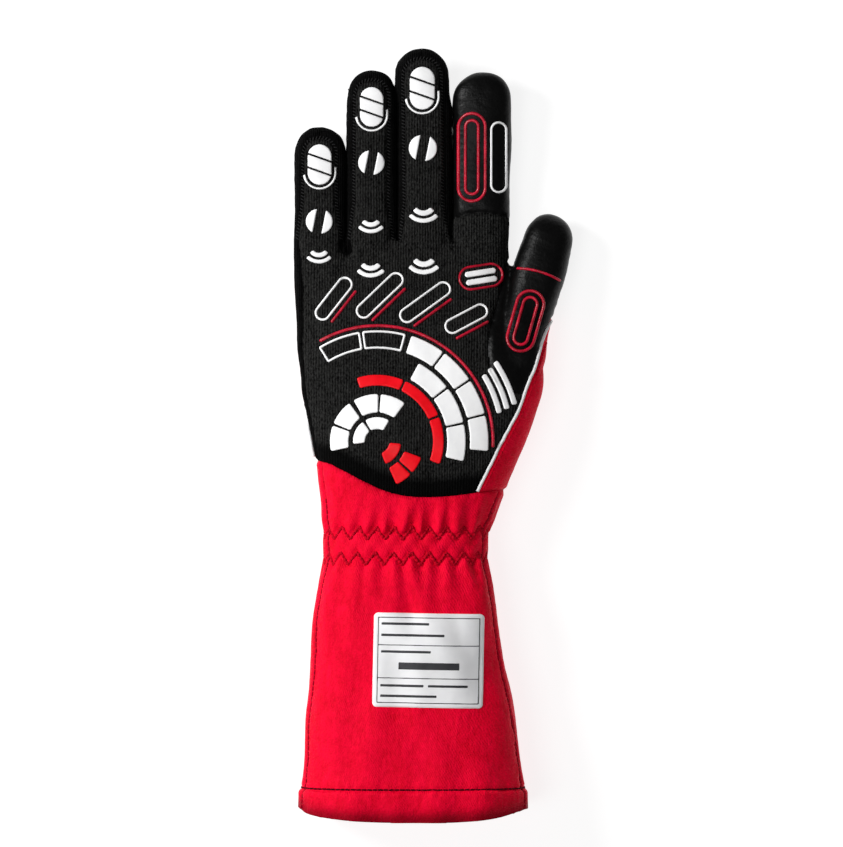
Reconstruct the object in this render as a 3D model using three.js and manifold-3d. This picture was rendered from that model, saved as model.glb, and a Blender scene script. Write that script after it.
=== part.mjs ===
// A racing glove for the right hand, lying on its back with the palm up.
// Millimetres. +X points to the thumb side, +Y to the fingertips and +Z up, out of the palm.
// The glove is modelled about the middle of its wrist line, then moved so that the origin is
// the middle of its footprint on the surface that it lies on.
import * as THREE from "three";
import { mergeVertices } from "three/addons/utils/BufferGeometryUtils.js";
import Module from "manifold-3d";

const wasm = await Module();
wasm.setup();

// Driving sizes of the body: a sleeve from the cuff's mouth to the finger crotches.
const cuffLength = 129; // mouth to wrist line
const palmLength = 136.5; // wrist line to finger crotches
const mouthWidth = 105;
const mouthThickness = 50;
const wristWidth = 76;
const wristThickness = 36;
const palmThickness = 38;
const webThickness = 11; // between the finger roots
const fingerGap = 0.4;
const fingerRise = 9.2; // middle of a finger's root above the surface
const fingerCurl = 9; // how far the longest fingertip rises

// Walls, seams and trim.
const wall = 1.8;
const cuffWall = 2;
const seamGap = 0.3;
const frontSeamRise = 6.8; // side strips end this far above the middle plane
const frontSeamDip = 1.8; // and this much lower at the finger crotches
const backSeamDrop = 3; // and this far below it
const backSeamDip = 6; // further drop of the back seam along the palm's edge
const indexSeamDrop = 5;
const thumbSeamDrop = 1;
const cuffSeamRise = 9;
const gatherDepth = 1.1;
const gatherCount = 23;
const pipingDiameter = 2;
const littlePipingReach = 0.86; // share of the palm's length
const gripThickness = 0.6;
const gripLine = 2; // a raised line's width
const fanWidth = 7.4;
const labelWidth = 50.5;
const labelHeight = 43;
const labelThickness = 0.6;
const labelCorner = 2;
const labelTurn = -0.02; // radians
const labelDrop = 55; // wrist line to the label's middle
const labelShift = 10.5;

// Fingers, from the little finger to the index: length is crotch line to tip, lean is the
// tip's drift in X, and crotch is how far below the crotch line the slit to the next ends.
const fingers = [
  { name: "little", width: 23.7, thickness: 16.5, length: 53.4, lean: 0.4, crotch: 8 },
  { name: "ring", width: 23.2, thickness: 17, length: 79.4, lean: 0.5, crotch: -1 },
  { name: "middle", width: 24.9, thickness: 17.5, length: 89.2, lean: -1, crotch: -0.5 },
  { name: "index", width: 26.3, thickness: 17.5, length: 78.4, lean: 1.8, crotch: 0 },
];
const palmWidth = fingers.reduce((sum, f) => sum + f.width, 3 * fingerGap);

// Thumb: a straight axis from its root in the heel of the palm.
const thumbLength = 87.5;
const thumbWidth = 24.6;
const thumbThickness = 21.6;
const thumbTilt = THREE.MathUtils.degToRad(16);
const thumbRoot = { x: 0.453 * palmWidth, y: 0.476 * palmLength };

// Sections of the body. along is a share of the cuff's length below the wrist line and of the
// palm's length above it. swell goes from the mouth's width at -1 through the wrist's at 0 to
// the palm's at 1. fill does the same for thickness and reaches the web's at 2. lean moves the
// middle, as a share of the palm's width. lift raises the underside, as a share of the wrist's
// thickness. gather is the share of the full gather depth.
const bodyRows = [
  { along: -1.05, swell: -1, fill: -1, lean: 0.035, lift: 0, gather: 0 },
  { along: -0.886, swell: -0.99, fill: -1, lean: 0.034, lift: 0, gather: 0 },
  { along: -0.878, swell: -0.945, fill: -0.94, lean: 0.034, lift: 0, gather: 0 },
  { along: -0.58, swell: -0.63, fill: -0.71, lean: 0.022, lift: 0, gather: 0 },
  { along: -0.42, swell: -0.45, fill: -0.56, lean: 0.004, lift: 0.003, gather: 0.1 },
  { along: -0.27, swell: -0.27, fill: -0.43, lean: 0, lift: 0.01, gather: 0.3 },
  { along: -0.16, swell: -0.12, fill: -0.26, lean: 0, lift: 0.03, gather: 0.6 },
  { along: -0.067, swell: 0, fill: -0.04, lean: 0, lift: 0.05, gather: 1 },
  { along: 0.024, swell: 0.02, fill: 0.04, lean: 0.002, lift: 0.05, gather: 1 },
  { along: 0.07, swell: 0.14, fill: 0.25, lean: 0.01, lift: 0.035, gather: 0.7 },
  { along: 0.121, swell: 0.26, fill: 0.6, lean: 0.022, lift: 0.015, gather: 0.3 },
  { along: 0.19, swell: 0.47, fill: 0.95, lean: 0.035, lift: 0.003, gather: 0.1 },
  { along: 0.256, swell: 0.68, fill: 1, lean: 0.05, lift: 0, gather: 0 },
  { along: 0.323, swell: 0.94, fill: 1, lean: 0.062, lift: 0, gather: 0 },
  { along: 0.42, swell: 1.26, fill: 1.04, lean: 0.072, lift: 0, gather: 0 },
  { along: 0.525, swell: 1.52, fill: 1.1, lean: 0.078, lift: 0, gather: 0 },
  { along: 0.63, swell: 1.46, fill: 1.2, lean: 0.053, lift: 0, gather: 0 },
  { along: 0.74, swell: 1.19, fill: 1.37, lean: 0.015, lift: 0, gather: 0 },
  { along: 0.84, swell: 1.07, fill: 1.52, lean: -0.006, lift: 0, gather: 0 },
  { along: 0.92, swell: 1.02, fill: 1.7, lean: -0.016, lift: 0.02, gather: 0 },
  { along: 1.01, swell: 0.92, fill: 2, lean: -0.02, lift: 0.115, gather: 0 },
];

// Sections of a finger. at is a share of its length from the crotch line, and root rows go
// back into the palm as a share of the palm's length. size scales the section.
const fingerRows = [
  { back: 0.22, at: 0, size: 0.5 },
  { back: 0.11, at: 0, size: 0.86 },
  { back: 0, at: 0, size: 1 },
  { back: 0, at: 0.4, size: 1 },
  { back: 0, at: 0.75, size: 0.985 },
];

// Sections of the thumb. at is a share of its length from the root, rise is the height of its
// middle as a share of its thickness, and wide and thick scale the section.
const thumbRows = [
  { at: -0.2, wide: 0.8, thick: 1.0, rise: 0.7 },
  { at: 0, wide: 1.22, thick: 1.28, rise: 0.74 },
  { at: 0.2, wide: 1.05, thick: 1.26, rise: 0.74 },
  { at: 0.39, wide: 0.96, thick: 1.14, rise: 0.68 },
  { at: 0.55, wide: 0.95, thick: 1.04, rise: 0.62 },
  { at: 0.7, wide: 1.0, thick: 1.0, rise: 0.57 },
  { at: 0.84, wide: 0.93, thick: 0.93, rise: 0.53 },
];

// A rounded tip closes through these angles, from its shoulder to its end.
const tipAngles = [0, 30, 56, 84].map(THREE.MathUtils.degToRad);
const liningTipAngles = [0, 42, 82].map(THREE.MathUtils.degToRad);

// Stretches of a line as shares: x of the palm's width from the body's middle line, and y from
// the wrist line, of the palm's length above it and of the cuff's length below it.
const heelLine = [
  [-0.7, 0.29], [-0.4, 0.262], [-0.3, 0.235], [-0.2, 0.198], [-0.1, 0.165],
  [0.0, 0.147], [0.1, 0.143], [0.2, 0.146], [0.34, 0.158], [0.47, 0.166], [0.8, 0.174],
];
const pipingLine = [
  [0.3, 0.1], [0.334, 0.164], [0.365, 0.21], [0.41, 0.275], [0.449, 0.33],
  [0.488, 0.384], [0.527, 0.44], [0.565, 0.515], [0.6, 0.585], [0.64, 0.68], [0.7, 0.77],
];
const thumbSeamLine = [
  [0.52, 1.2], [0.5, 1.0], [0.467, 0.9], [0.43, 0.8], [0.39, 0.7], [0.385, 0.61],
  [0.42, 0.54], [0.49, 0.5], [0.57, 0.49], [0.8, 0.49],
];
const knuckleLine = [[-0.9, 0.86], [-0.25, 0.93], [0.2, 0.93], [0.9, 0.86]];
const thumbBackLine = [[0.3, 0.99], [0.5, 0.86], [0.65, 0.77], [0.9, 0.62]];
const mouthLine = [
  [-0.7, -0.87], [-0.51, -0.92], [-0.49, -0.955], [-0.45, -0.974], [-0.34, -0.988],
  [-0.15, -0.998], [0.05, -1.0], [0.25, -0.998], [0.42, -0.985], [0.52, -0.966],
  [0.57, -0.93], [0.7, -0.88],
];

// Grips on the three plain fingers: drop is from the fingertip to the grip's middle, and wide
// and tall are its size, all as shares of the finger's width.
const fingerGripRows = [
  { name: "tip", drop: 0.74, wide: 0.46, tall: 0.78 },
  { name: "joint", drop: 1.84, wide: 0.52, tall: 0.48 },
];

// Frames on the index finger and the thumb: wide and tall are shares of its width and length,
// aside moves one across as a share of the width, at is a share of the thumb's length from its
// root and of the index finger's from the crotch line, and line is the frame's own, in grip lines.
const frameRows = {
  grip_index_frame: { wide: 0.52, tall: 0.53, aside: -0.15, at: 0.5, line: 1 },
  grip_index_patch: { wide: 0.3, tall: 0.42, aside: 0.32, at: 0.5, line: 0.5 },
  grip_thumb_frame: { wide: 0.56, tall: 0.34, aside: 0, at: 0.42, line: 1 },
};

// The palm's grips sweep round one middle in its heel.
const sweep = { x: -0.13 * palmWidth, y: 0.33 * palmLength };

// Bars fanned over the upper palm. around is the angle of a bar's middle from +X and turn is
// the bar's own angle from +Y, both in degrees. radius and length are shares of the palm's width.
const fanRows = [
  { around: 107, radius: 0.69, length: 0.24, turn: -38 },
  { around: 89, radius: 0.675, length: 0.28, turn: -46 },
  { around: 71, radius: 0.68, length: 0.28, turn: -54 },
  { around: 54, radius: 0.7, length: 0.22, turn: -62 },
];

// Arcs: radius and width are shares of the palm's width, and the angles are in degrees from +X.
const sweepRows = [
  { name: "sweep_outer", radius: 0.47, width: 0.085, from: -5, to: 72 },
  { name: "sweep_left", radius: 0.47, width: 0.085, from: 75, to: 122 },
  { name: "sweep_inner", radius: 0.365, width: 0.085, from: -13, to: 62 },
  { name: "sweep_red", radius: 0.282, width: 0.05, from: -20, to: 108 },
  { name: "heel_1", radius: 0.175, width: 0.085, from: 54, to: 120 },
  { name: "heel_2", radius: 0.175, width: 0.085, from: 126, to: 192 },
  { name: "heel_3", radius: 0.084, width: 0.055, from: 60, to: 186 },
  { name: "stripe_1", radius: 0.175, width: 0.085, from: -66, to: -20 },
  { name: "stripe_2", radius: 0.084, width: 0.055, from: -70, to: -6 },
];

const far = 400; // past the glove on every side
const cuffReach = 0.36; // the cuff's sleeve is lofted this share of the palm past the wrist line
const bodySides = 26;
const cuffSides = 2 * gatherCount;
const liningSides = 18;
const fingerSides = 14;
const fingerLiningSides = 10;
const outlineSteps = 2; // to a quarter turn of a rounded outline
const bodyPower = 2.6;
const fingerPower = 2.35;
const curlSteps = 4;
const tipPower = 2.2;
const undersideSpread = 1.15; // how much the floor flattens the underside
const middleShare = 0.46; // the middle plane's height in a section
const tipShare = 0.56; // a fingertip's rounding, of the finger's width
const dipStart = 0.3; // the back seam starts to dip at this share of the palm
// The front seam's dip at the finger crotches, in shares of the palm's length.
const crotchDip = { from: 0.84, full: 0.92, left: 1.01, to: 1.13 };
const sleeveStart = 0.1; // the hand's sleeve starts at this share of the palm

const mix = THREE.MathUtils.lerp;

// A closed geometry as a solid, with only its positions kept.
function toSolid(geometry) {
  const bare = new THREE.BufferGeometry();
  bare.setAttribute("position", geometry.getAttribute("position"));
  if (geometry.index) bare.setIndex(geometry.index);
  const merged = mergeVertices(bare, 1e-4);
  return new wasm.Manifold(
    new wasm.Mesh({
      numProp: 3,
      vertProperties: merged.attributes.position.array,
      triVerts: new Uint32Array(merged.index.array),
    }),
  );
}

// A solid as a geometry with flat faces.
function toGeometry(solid) {
  const mesh = solid.getMesh();
  const geometry = new THREE.BufferGeometry();
  geometry.setAttribute("position", new THREE.BufferAttribute(mesh.vertProperties, 3));
  geometry.setIndex(new THREE.BufferAttribute(mesh.triVerts, 1));
  const flat = geometry.toNonIndexed();
  flat.computeVertexNormals();
  return flat;
}

// The solid through rings of points that go along +Y.
function loft(rings) {
  const sides = rings[0].length;
  const points = rings.flat();
  const last = rings.length - 1;
  const faces = [];
  const centre = (ring) =>
    ring.reduce((sum, p) => sum.add(p), new THREE.Vector3()).divideScalar(sides);
  points.push(centre(rings[0]), centre(rings[last]));
  const [first, end] = [points.length - 2, points.length - 1];
  for (let k = 0; k < sides; k++) {
    const next = (k + 1) % sides;
    for (let i = 0; i < last; i++) {
      const [a, b] = [i * sides + k, i * sides + next];
      faces.push(a, a + sides, b, b, a + sides, b + sides);
    }
    faces.push(first, k, next, end, last * sides + next, last * sides + k);
  }
  const geometry = new THREE.BufferGeometry().setFromPoints(points);
  geometry.setIndex(faces);
  return toSolid(geometry);
}

// A rounded section in the plane across the direction, flattened by the floor.
function ring({ middle, across, wide, up, down, power, floor, sides }) {
  const bend = (v) => Math.sign(v) * Math.abs(v) ** (2 / power);
  return Array.from({ length: sides }, (_, k) => {
    const angle = (2 * Math.PI * k) / sides;
    const [c, s] = [bend(Math.cos(angle)), bend(Math.sin(angle))];
    const point = middle.clone().addScaledVector(across, wide * c);
    point.z = Math.max(floor, point.z + (s > 0 ? up : down) * s);
    return point;
  });
}

// The same closed ring with its points spaced evenly.
function evenRing(points, count) {
  const closed = [...points, points[0]];
  const at = [0];
  for (let i = 1; i < closed.length; i++) {
    at.push(at[i - 1] + closed[i].distanceTo(closed[i - 1]));
  }
  return Array.from({ length: count }, (_, k) => {
    const want = (at[points.length] * k) / count;
    const i = at.findIndex((length) => length > want) - 1;
    return closed[i].clone().lerp(closed[i + 1], (want - at[i]) / (at[i + 1] - at[i]));
  });
}

// The body's section at one row, grown by offset.
function bodySection(row) {
  const staged = (stage, mouth, wrist, palm, web) => {
    if (stage < 0) return mix(wrist, mouth, -stage);
    if (stage < 1 || web === undefined) return mix(wrist, palm, stage);
    return mix(palm, web, stage - 1);
  };
  const thickness = staged(row.fill, mouthThickness, wristThickness, palmThickness, webThickness);
  const bottom = row.lift * wristThickness;
  return {
    y: row.along * (row.along < 0 ? cuffLength : palmLength),
    x: row.lean * palmWidth,
    half: staged(row.swell, mouthWidth, wristWidth, palmWidth) / 2,
    thickness,
    bottom,
    middle: bottom + middleShare * thickness,
    gather: row.gather,
  };
}
const bodySections = bodyRows.map(bodySection);

function bodyRing(section, offset, sides) {
  return ring({
    middle: new THREE.Vector3(section.x, section.y, section.middle),
    across: new THREE.Vector3(1, 0, 0),
    wide: section.half + offset,
    up: section.thickness - (section.middle - section.bottom) + offset,
    down: (section.middle - section.bottom) * undersideSpread + offset,
    power: bodyPower,
    floor: section.bottom - offset,
    sides,
  });
}

// Height of the middle plane over a place along the glove.
function middleAt(y) {
  if (y >= palmLength) return fingerRise + curlAt(y);
  const next = bodySections.findIndex((s) => s.y > y);
  if (next <= 0) return bodySections[0].middle;
  const [a, b] = [bodySections[next - 1], bodySections[next]];
  return mix(a.middle, b.middle, (y - a.y) / (b.y - a.y));
}

const longest = Math.max(...fingers.map((f) => f.length));
function curlAt(y) {
  return fingerCurl * (Math.max(0, y - palmLength) / longest) ** 2;
}

// The hand's sleeve, from just below the heel line up to the finger crotches.
function palmSolid(offset) {
  const rows = bodySections.filter((s) => s.y > sleeveStart * palmLength);
  return loft(rows.map((s) => bodyRing(s, offset, offset < 0 ? liningSides : bodySides)));
}

// The cuff's sleeve. Gathers ripple its outside between the wrist's rows of elastic.
const cuffSections = bodySections.filter((s) => s.y < cuffReach * palmLength);

function cuffSolid(offset) {
  return loft(
    cuffSections.map((s) => {
      const even = evenRing(bodyRing(s, offset, cuffSides), cuffSides);
      return even.map((p, k) => {
        const wave = Math.cos((2 * Math.PI * gatherCount * k) / cuffSides);
        const outward = new THREE.Vector3(p.x - s.x, 0, p.z - s.middle).normalize();
        return p.addScaledVector(outward, 0.5 * gatherDepth * s.gather * wave);
      });
    }),
  );
}

function smoothCuff(offset) {
  return loft(cuffSections.map((s) => bodyRing(s, offset, bodySides)));
}

function cuffHollow() {
  return loft(
    cuffSections.map((s) =>
      bodyRing(s, -cuffWall - 0.5 * gatherDepth * s.gather, liningSides),
    ),
  );
}

// Where each finger's middle line crosses the crotch line.
const crotchSection = bodySections[bodySections.length - 1];
let edge = crotchSection.x - palmWidth / 2;
for (const finger of fingers) {
  finger.x = edge + finger.width / 2;
  edge += finger.width + fingerGap;
}

// A finger or thumb ends in a rounded tip of this many millimetres.
function tipRings(makeRing, radius, offset, shoulder) {
  return (offset < 0 ? liningTipAngles : tipAngles).map((angle) => {
    const shrink = Math.cos(angle) ** (2 / tipPower);
    return makeRing(shoulder + (radius + offset) * Math.sin(angle) ** (2 / tipPower), shrink);
  });
}

function fingerSolid(finger, offset) {
  const tip = finger.width * tipShare;
  const section = (y, size) => {
    const share = Math.max(0, (y - palmLength) / finger.length);
    return ring({
      middle: new THREE.Vector3(finger.x + finger.lean * share, y, fingerRise + curlAt(y)),
      across: new THREE.Vector3(1, 0, 0),
      wide: size * (finger.width / 2 + offset),
      up: size * (finger.thickness / 2 + offset),
      down: size * (finger.thickness / 2 + offset),
      power: fingerPower,
      floor: -offset,
      sides: offset < 0 ? fingerLiningSides : fingerSides,
    });
  };
  const straight = fingerRows.map((row) =>
    section(palmLength * (1 - row.back) + row.at * (finger.length - tip), row.size),
  );
  const end = fingerRows[fingerRows.length - 1].size;
  const shoulder = palmLength + finger.length - tip;
  return loft([
    ...straight,
    ...tipRings((y, shrink) => section(y, end * shrink), tip, offset, shoulder),
  ]);
}

const thumbAlong = new THREE.Vector3(Math.sin(thumbTilt), Math.cos(thumbTilt), 0);
const thumbAcross = new THREE.Vector3(Math.cos(thumbTilt), -Math.sin(thumbTilt), 0);

// The thumb's middle point, a share of its length from its root.
function thumbPoint(at, rise) {
  return new THREE.Vector3(thumbRoot.x, thumbRoot.y, rise * thumbThickness).addScaledVector(
    thumbAlong,
    at * thumbLength,
  );
}

function thumbSolid(offset) {
  const section = (at, wide, thick, rise, shrink = 1) =>
    ring({
      middle: thumbPoint(at, rise),
      across: thumbAcross,
      wide: shrink * ((wide * thumbWidth) / 2 + offset),
      up: shrink * ((thick * thumbThickness) / 2 + offset),
      down: shrink * ((thick * thumbThickness) / 2 + offset),
      power: fingerPower,
      floor: -offset,
      sides: offset < 0 ? fingerLiningSides : fingerSides,
    });
  const last = thumbRows[thumbRows.length - 1];
  const tip = thumbLength * (1 - last.at);
  return loft([
    ...thumbRows.slice(0, -1).map((r) => section(r.at, r.wide, r.thick, r.rise)),
    ...tipRings(
      (along, shrink) =>
        section(along / thumbLength, last.wide, last.thick, last.rise, shrink),
      tip,
      offset,
      last.at * thumbLength,
    ),
  ]);
}

function union(solids) {
  return solids.reduce((sum, solid) => sum.add(solid));
}

// A plan outline as a solid that goes right through the glove.
function plan(points) {
  const shape = new THREE.Shape(points.map((p) => new THREE.Vector2(p.x, p.y)));
  const geometry = new THREE.ExtrudeGeometry(shape, { depth: far, bevelEnabled: false });
  return toSolid(geometry.translate(0, 0, -far / 2));
}

function block(x0, x1, y0, y1, z0 = -far, z1 = far) {
  const geometry = new THREE.BoxGeometry(x1 - x0, y1 - y0, z1 - z0);
  return toSolid(geometry.translate((x0 + x1) / 2, (y0 + y1) / 2, (z0 + z1) / 2));
}

// A smooth line through points given as shares.
function line(shares, steps = 12) {
  const points = shares.map(
    ([x, y]) => new THREE.Vector2(x * palmWidth, y * (y < 0 ? cuffLength : palmLength)),
  );
  return new THREE.SplineCurve(points).getPoints(steps);
}

// The line moved sideways, to its left where the distance is positive.
function beside(points, distance) {
  return points.map((p, i) => {
    const before = points[Math.max(0, i - 1)];
    const after = points[Math.min(points.length - 1, i + 1)];
    const along = after.clone().sub(before).normalize();
    return new THREE.Vector2(p.x - along.y * distance, p.y + along.x * distance);
  });
}

// Everything over a seam surface. rise(y) is its height above the middle plane.
function above(rise, xFrom = -far, xTo = far) {
  const ys = [-far, ...bodySections.map((s) => s.y)];
  for (let i = 1; i <= curlSteps; i++) ys.push(palmLength + (longest * i) / curlSteps);
  ys.push(far);
  const points = ys
    .filter((y, i) => i === 0 || y > ys[i - 1] + 1)
    .map((y) => new THREE.Vector2(y, middleAt(y) + rise(y)));
  points.push(new THREE.Vector2(far, far), new THREE.Vector2(-far, far));
  const geometry = new THREE.ExtrudeGeometry(new THREE.Shape(points), {
    depth: xTo - xFrom,
    bevelEnabled: false,
  });
  const turn = new THREE.Matrix4().makeBasis(
    new THREE.Vector3(0, 1, 0),
    new THREE.Vector3(0, 0, 1),
    new THREE.Vector3(1, 0, 0),
  );
  return toSolid(geometry.applyMatrix4(turn).translate(xFrom, 0, 0));
}

// The side of a line on which the corners lie, moved by shift to the line's left.
function sideOf(points, corners, shift) {
  return plan([...beside(points, shift), ...corners.map(([x, y]) => new THREE.Vector2(x, y))]);
}

function largest(solid) {
  return solid.decompose().reduce((a, b) => (b.volume() > a.volume() ? b : a));
}

// The slits between neighbouring fingers.
function slits(half) {
  return union(
    fingers.slice(0, -1).map((f) => {
      const x = f.x + (f.width + fingerGap) / 2;
      return block(x - half, x + half, palmLength - f.crotch - half, far);
    }),
  );
}

// The whole hand as one solid, grown by offset.
function handSolid(offset) {
  const parts = [palmSolid(offset), ...fingers.map((f) => fingerSolid(f, offset))];
  return union([...parts, thumbSolid(offset)]);
}

// The regions that the seams bound. Each takes the distance that it is grown by.
const heelEdge = line(heelLine);
const pipingEdge = line(pipingLine);
const thumbEdge = line(thumbSeamLine);
const mouthEdge = line(mouthLine, 14);
const below = (grow) => sideOf(heelEdge, [[far, -far], [-far, -far]], grow);
const redSide = (grow) =>
  sideOf(pipingEdge, [[far, pipingEdge.at(-1).y], [far, -far], [pipingEdge[0].x, -far]], grow);
const thumbSide = (grow) =>
  sideOf(thumbEdge, [[far, thumbEdge.at(-1).y], [far, far], [thumbEdge[0].x, far]], -grow);
const backOfThumb = (grow) => sideOf(line(thumbBackLine), [[far, far], [-far, far]], -grow);
const knuckles = (grow) => sideOf(line(knuckleLine), [[far, far], [-far, far]], -grow);
const insideMouth = () => sideOf(mouthEdge, [[far, far], [-far, far]], 0);

// From 0 away from the finger crotches to 1 at them.
function nearCrotches(y) {
  const share = y / palmLength;
  const rising = (share - crotchDip.from) / (crotchDip.full - crotchDip.from);
  const falling = (crotchDip.to - share) / (crotchDip.to - crotchDip.left);
  return THREE.MathUtils.clamp(Math.min(rising, falling), 0, 1);
}

// Seam heights above the middle plane.
const frontSeam = (y) => frontSeamRise - frontSeamDip * nearCrotches(y);
const indexSeam = () => -indexSeamDrop;
const thumbSeam = () => -thumbSeamDrop;
const sideSeam = () => cuffSeamRise;
// The back seam dips under the palm's edge and comes up to it at the heel and the fingers.
function backSeam(y) {
  const share = THREE.MathUtils.clamp(y / palmLength, dipStart, 1);
  const dip = Math.sin((Math.PI * (share - dipStart)) / (1 - dipStart)) ** 2;
  return -backSeamDrop - backSeamDip * dip;
}

const slitX = fingers[2].x + (fingers[2].width + fingerGap) / 2;
const lowered = (seam, by) => (y) => seam(y) - by;

// The black front over its back seams, grown by grow: strips and fronts together.
function blackFront(grow) {
  const left = above(lowered(backSeam, grow), -far, slitX);
  const right = above(lowered(indexSeam, grow), slitX - 0.01, far).subtract(thumbSide(0));
  const thumb = above(lowered(thumbSeam, grow)).intersect(thumbSide(grow));
  return union([left, right, thumb]).subtract(redSide(grow ? 0 : seamGap));
}

// The glove's walls, cut into its pieces of cloth.
function clothPieces() {
  const outer = handSolid(0).subtract(slits(fingerGap / 2));
  const inner = handSolid(-wall).subtract(slits(fingerGap / 2 + wall));
  const hand = outer.subtract(inner).subtract(below(seamGap));
  const cuff = cuffSolid(0).subtract(cuffHollow()).intersect(below(0)).intersect(insideMouth());

  const thumb = hand.intersect(thumbSide(0)).subtract(redSide(seamGap));
  const rest = hand.subtract(thumbSide(seamGap)).subtract(redSide(seamGap));
  const leftSide = block(-far, slitX, -far, far);
  const front = union([
    above(frontSeam).intersect(leftSide),
    above(indexSeam, slitX - 0.01, far),
  ]);
  const strips = rest
    .intersect(above(backSeam, -far, slitX))
    .subtract(above(lowered(frontSeam, seamGap)));
  const strip = (from, to) =>
    largest(strips.intersect(block(from + seamGap / 2, to - seamGap / 2, -far, far)));
  const [littleX, ringX, middleX] = fingers.map((f) => f.x + f.lean);
  return {
    palm_panel: largest(rest.intersect(front)),
    little_side_strip: strip(-far, littleX),
    fourchette_little_ring: strip(littleX, ringX),
    fourchette_ring_middle: strip(ringX, middleX),
    fourchette_middle_index: strip(middleX, slitX - seamGap / 2),
    knuckle_panel: largest(
      rest
        .intersect(knuckles(0))
        .subtract(blackFront(seamGap))
        .subtract(above(lowered(frontSeam, seamGap), -far, slitX)),
    ),
    thumb_front: largest(thumb.intersect(above(thumbSeam))),
    thumb_back: largest(
      thumb.intersect(backOfThumb(0)).subtract(above(lowered(thumbSeam, seamGap))),
    ),
    back_panel: largest(
      hand
        .subtract(blackFront(seamGap))
        .subtract(knuckles(seamGap).subtract(thumbSide(0)))
        .subtract(backOfThumb(seamGap).intersect(thumbSide(seamGap))),
    ),
    cuff_front: largest(cuff.intersect(above(sideSeam))),
    cuff_back: largest(cuff.subtract(above(lowered(sideSeam, seamGap)))),
  };
}

// Everything that lies on the cloth is cut from a skin over it.
function skin(solidAt, thickness) {
  return solidAt(seamGap + thickness).subtract(solidAt(seamGap));
}

// A stretch of piping along a line, as tall as it is wide over the seam.
function pipingAlong(points, clothSkin) {
  const half = pipingDiameter / 2;
  const edges = [...beside(points, half), ...beside(points, -half).reverse()];
  return clothSkin.intersect(plan(edges));
}

function pipingPieces() {
  const clothSkin = skin(handSolid, pipingDiameter / 2).subtract(below(seamGap));
  const half = pipingDiameter / 2;
  const besideSeam = above(lowered(backSeam, half)).subtract(above(lowered(backSeam, -half)));
  const strip = palmLength * littlePipingReach;
  return {
    piping_thumb_side: largest(
      pipingAlong(pipingEdge, clothSkin).intersect(above(thumbSeam)),
    ),
    piping_little_side: largest(clothSkin.intersect(besideSeam).intersect(block(-far, 0, 0, strip))),
  };
}

// Plan outlines about the origin, long in Y. An outline with a hole is a closed band.
function capsule(width, length) {
  const radius = Math.min(width, length) / 2;
  const shape = new THREE.Shape();
  shape.absarc(0, length / 2 - radius, radius, 0, Math.PI);
  shape.absarc(0, radius - length / 2, radius, Math.PI, 2 * Math.PI);
  return shape;
}

function band(width, length, thickness) {
  const shape = capsule(width, length);
  shape.holes.push(capsule(width - 2 * thickness, length - 2 * thickness));
  return shape;
}

// A stretch of a ring, between two angles in degrees.
function arc(radius, width, from, to) {
  const [a, b] = [from, to].map(THREE.MathUtils.degToRad);
  const shape = new THREE.Shape();
  shape.absarc(0, 0, radius + width / 2, a, b);
  shape.absarc(0, 0, radius - width / 2, b, a, true);
  return shape;
}

// The outline through the clothes' front at a place, turned by an angle in radians.
function standing(shape, x, y, turn = 0) {
  const geometry = new THREE.ExtrudeGeometry(shape, {
    depth: far,
    bevelEnabled: false,
    curveSegments: outlineSteps,
  });
  return toSolid(geometry.rotateZ(turn).translate(x, y, 0));
}

function gripPieces() {
  const grips = {};
  const clothSkin = skin(handSolid, gripThickness).intersect(above(() => 0));
  const place = (name, shape, x, y, turn) => {
    grips[name] = largest(clothSkin.intersect(standing(shape, x, y, turn)));
  };
  for (const finger of fingers.slice(0, 3)) {
    for (const row of fingerGripRows) {
      const y = palmLength + finger.length - row.drop * finger.width;
      const share = (y - palmLength) / finger.length;
      const shape = capsule(row.wide * finger.width, row.tall * finger.width);
      place(`grip_${finger.name}_${row.name}`, shape, finger.x + finger.lean * share, y, 0);
    }
  }
  for (const [name, row] of Object.entries(frameRows)) {
    const onThumb = name === "grip_thumb_frame";
    const [width, length] = onThumb
      ? [thumbWidth, thumbLength]
      : [fingers[3].width, fingers[3].length];
    const middle = onThumb
      ? thumbPoint(row.at, 0)
      : new THREE.Vector3(fingers[3].x, palmLength + row.at * length, 0);
    const frame = band(row.wide * width, row.tall * length, row.line * gripLine);
    place(name, frame, middle.x + row.aside * width, middle.y, onThumb ? -thumbTilt : 0);
  }
  fanRows.forEach((row, i) => {
    const bar = band(fanWidth, row.length * palmWidth, gripLine / 2);
    const [turn, around] = [row.turn, row.around].map(THREE.MathUtils.degToRad);
    const reach = row.radius * palmWidth;
    const x = sweep.x + reach * Math.cos(around);
    place(`grip_fan_${i + 1}`, bar, x, sweep.y + reach * Math.sin(around), turn);
  });
  for (const row of sweepRows) {
    const shape = arc(row.radius * palmWidth, row.width * palmWidth, row.from, row.to);
    place(`grip_${row.name}`, shape, sweep.x, sweep.y, 0);
  }
  return grips;
}

function labelPiece() {
  const [w, h, r] = [labelWidth / 2, labelHeight / 2, labelCorner];
  const shape = new THREE.Shape();
  shape.absarc(w - r, h - r, r, 0, Math.PI / 2);
  shape.absarc(r - w, h - r, r, Math.PI / 2, Math.PI);
  shape.absarc(r - w, r - h, r, Math.PI, 1.5 * Math.PI);
  shape.absarc(w - r, r - h, r, 1.5 * Math.PI, 2 * Math.PI);
  const cuffSkin = skin(smoothCuff, labelThickness).intersect(above(() => 0));
  return largest(cuffSkin.intersect(standing(shape, labelShift, -labelDrop, labelTurn)));
}

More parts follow.
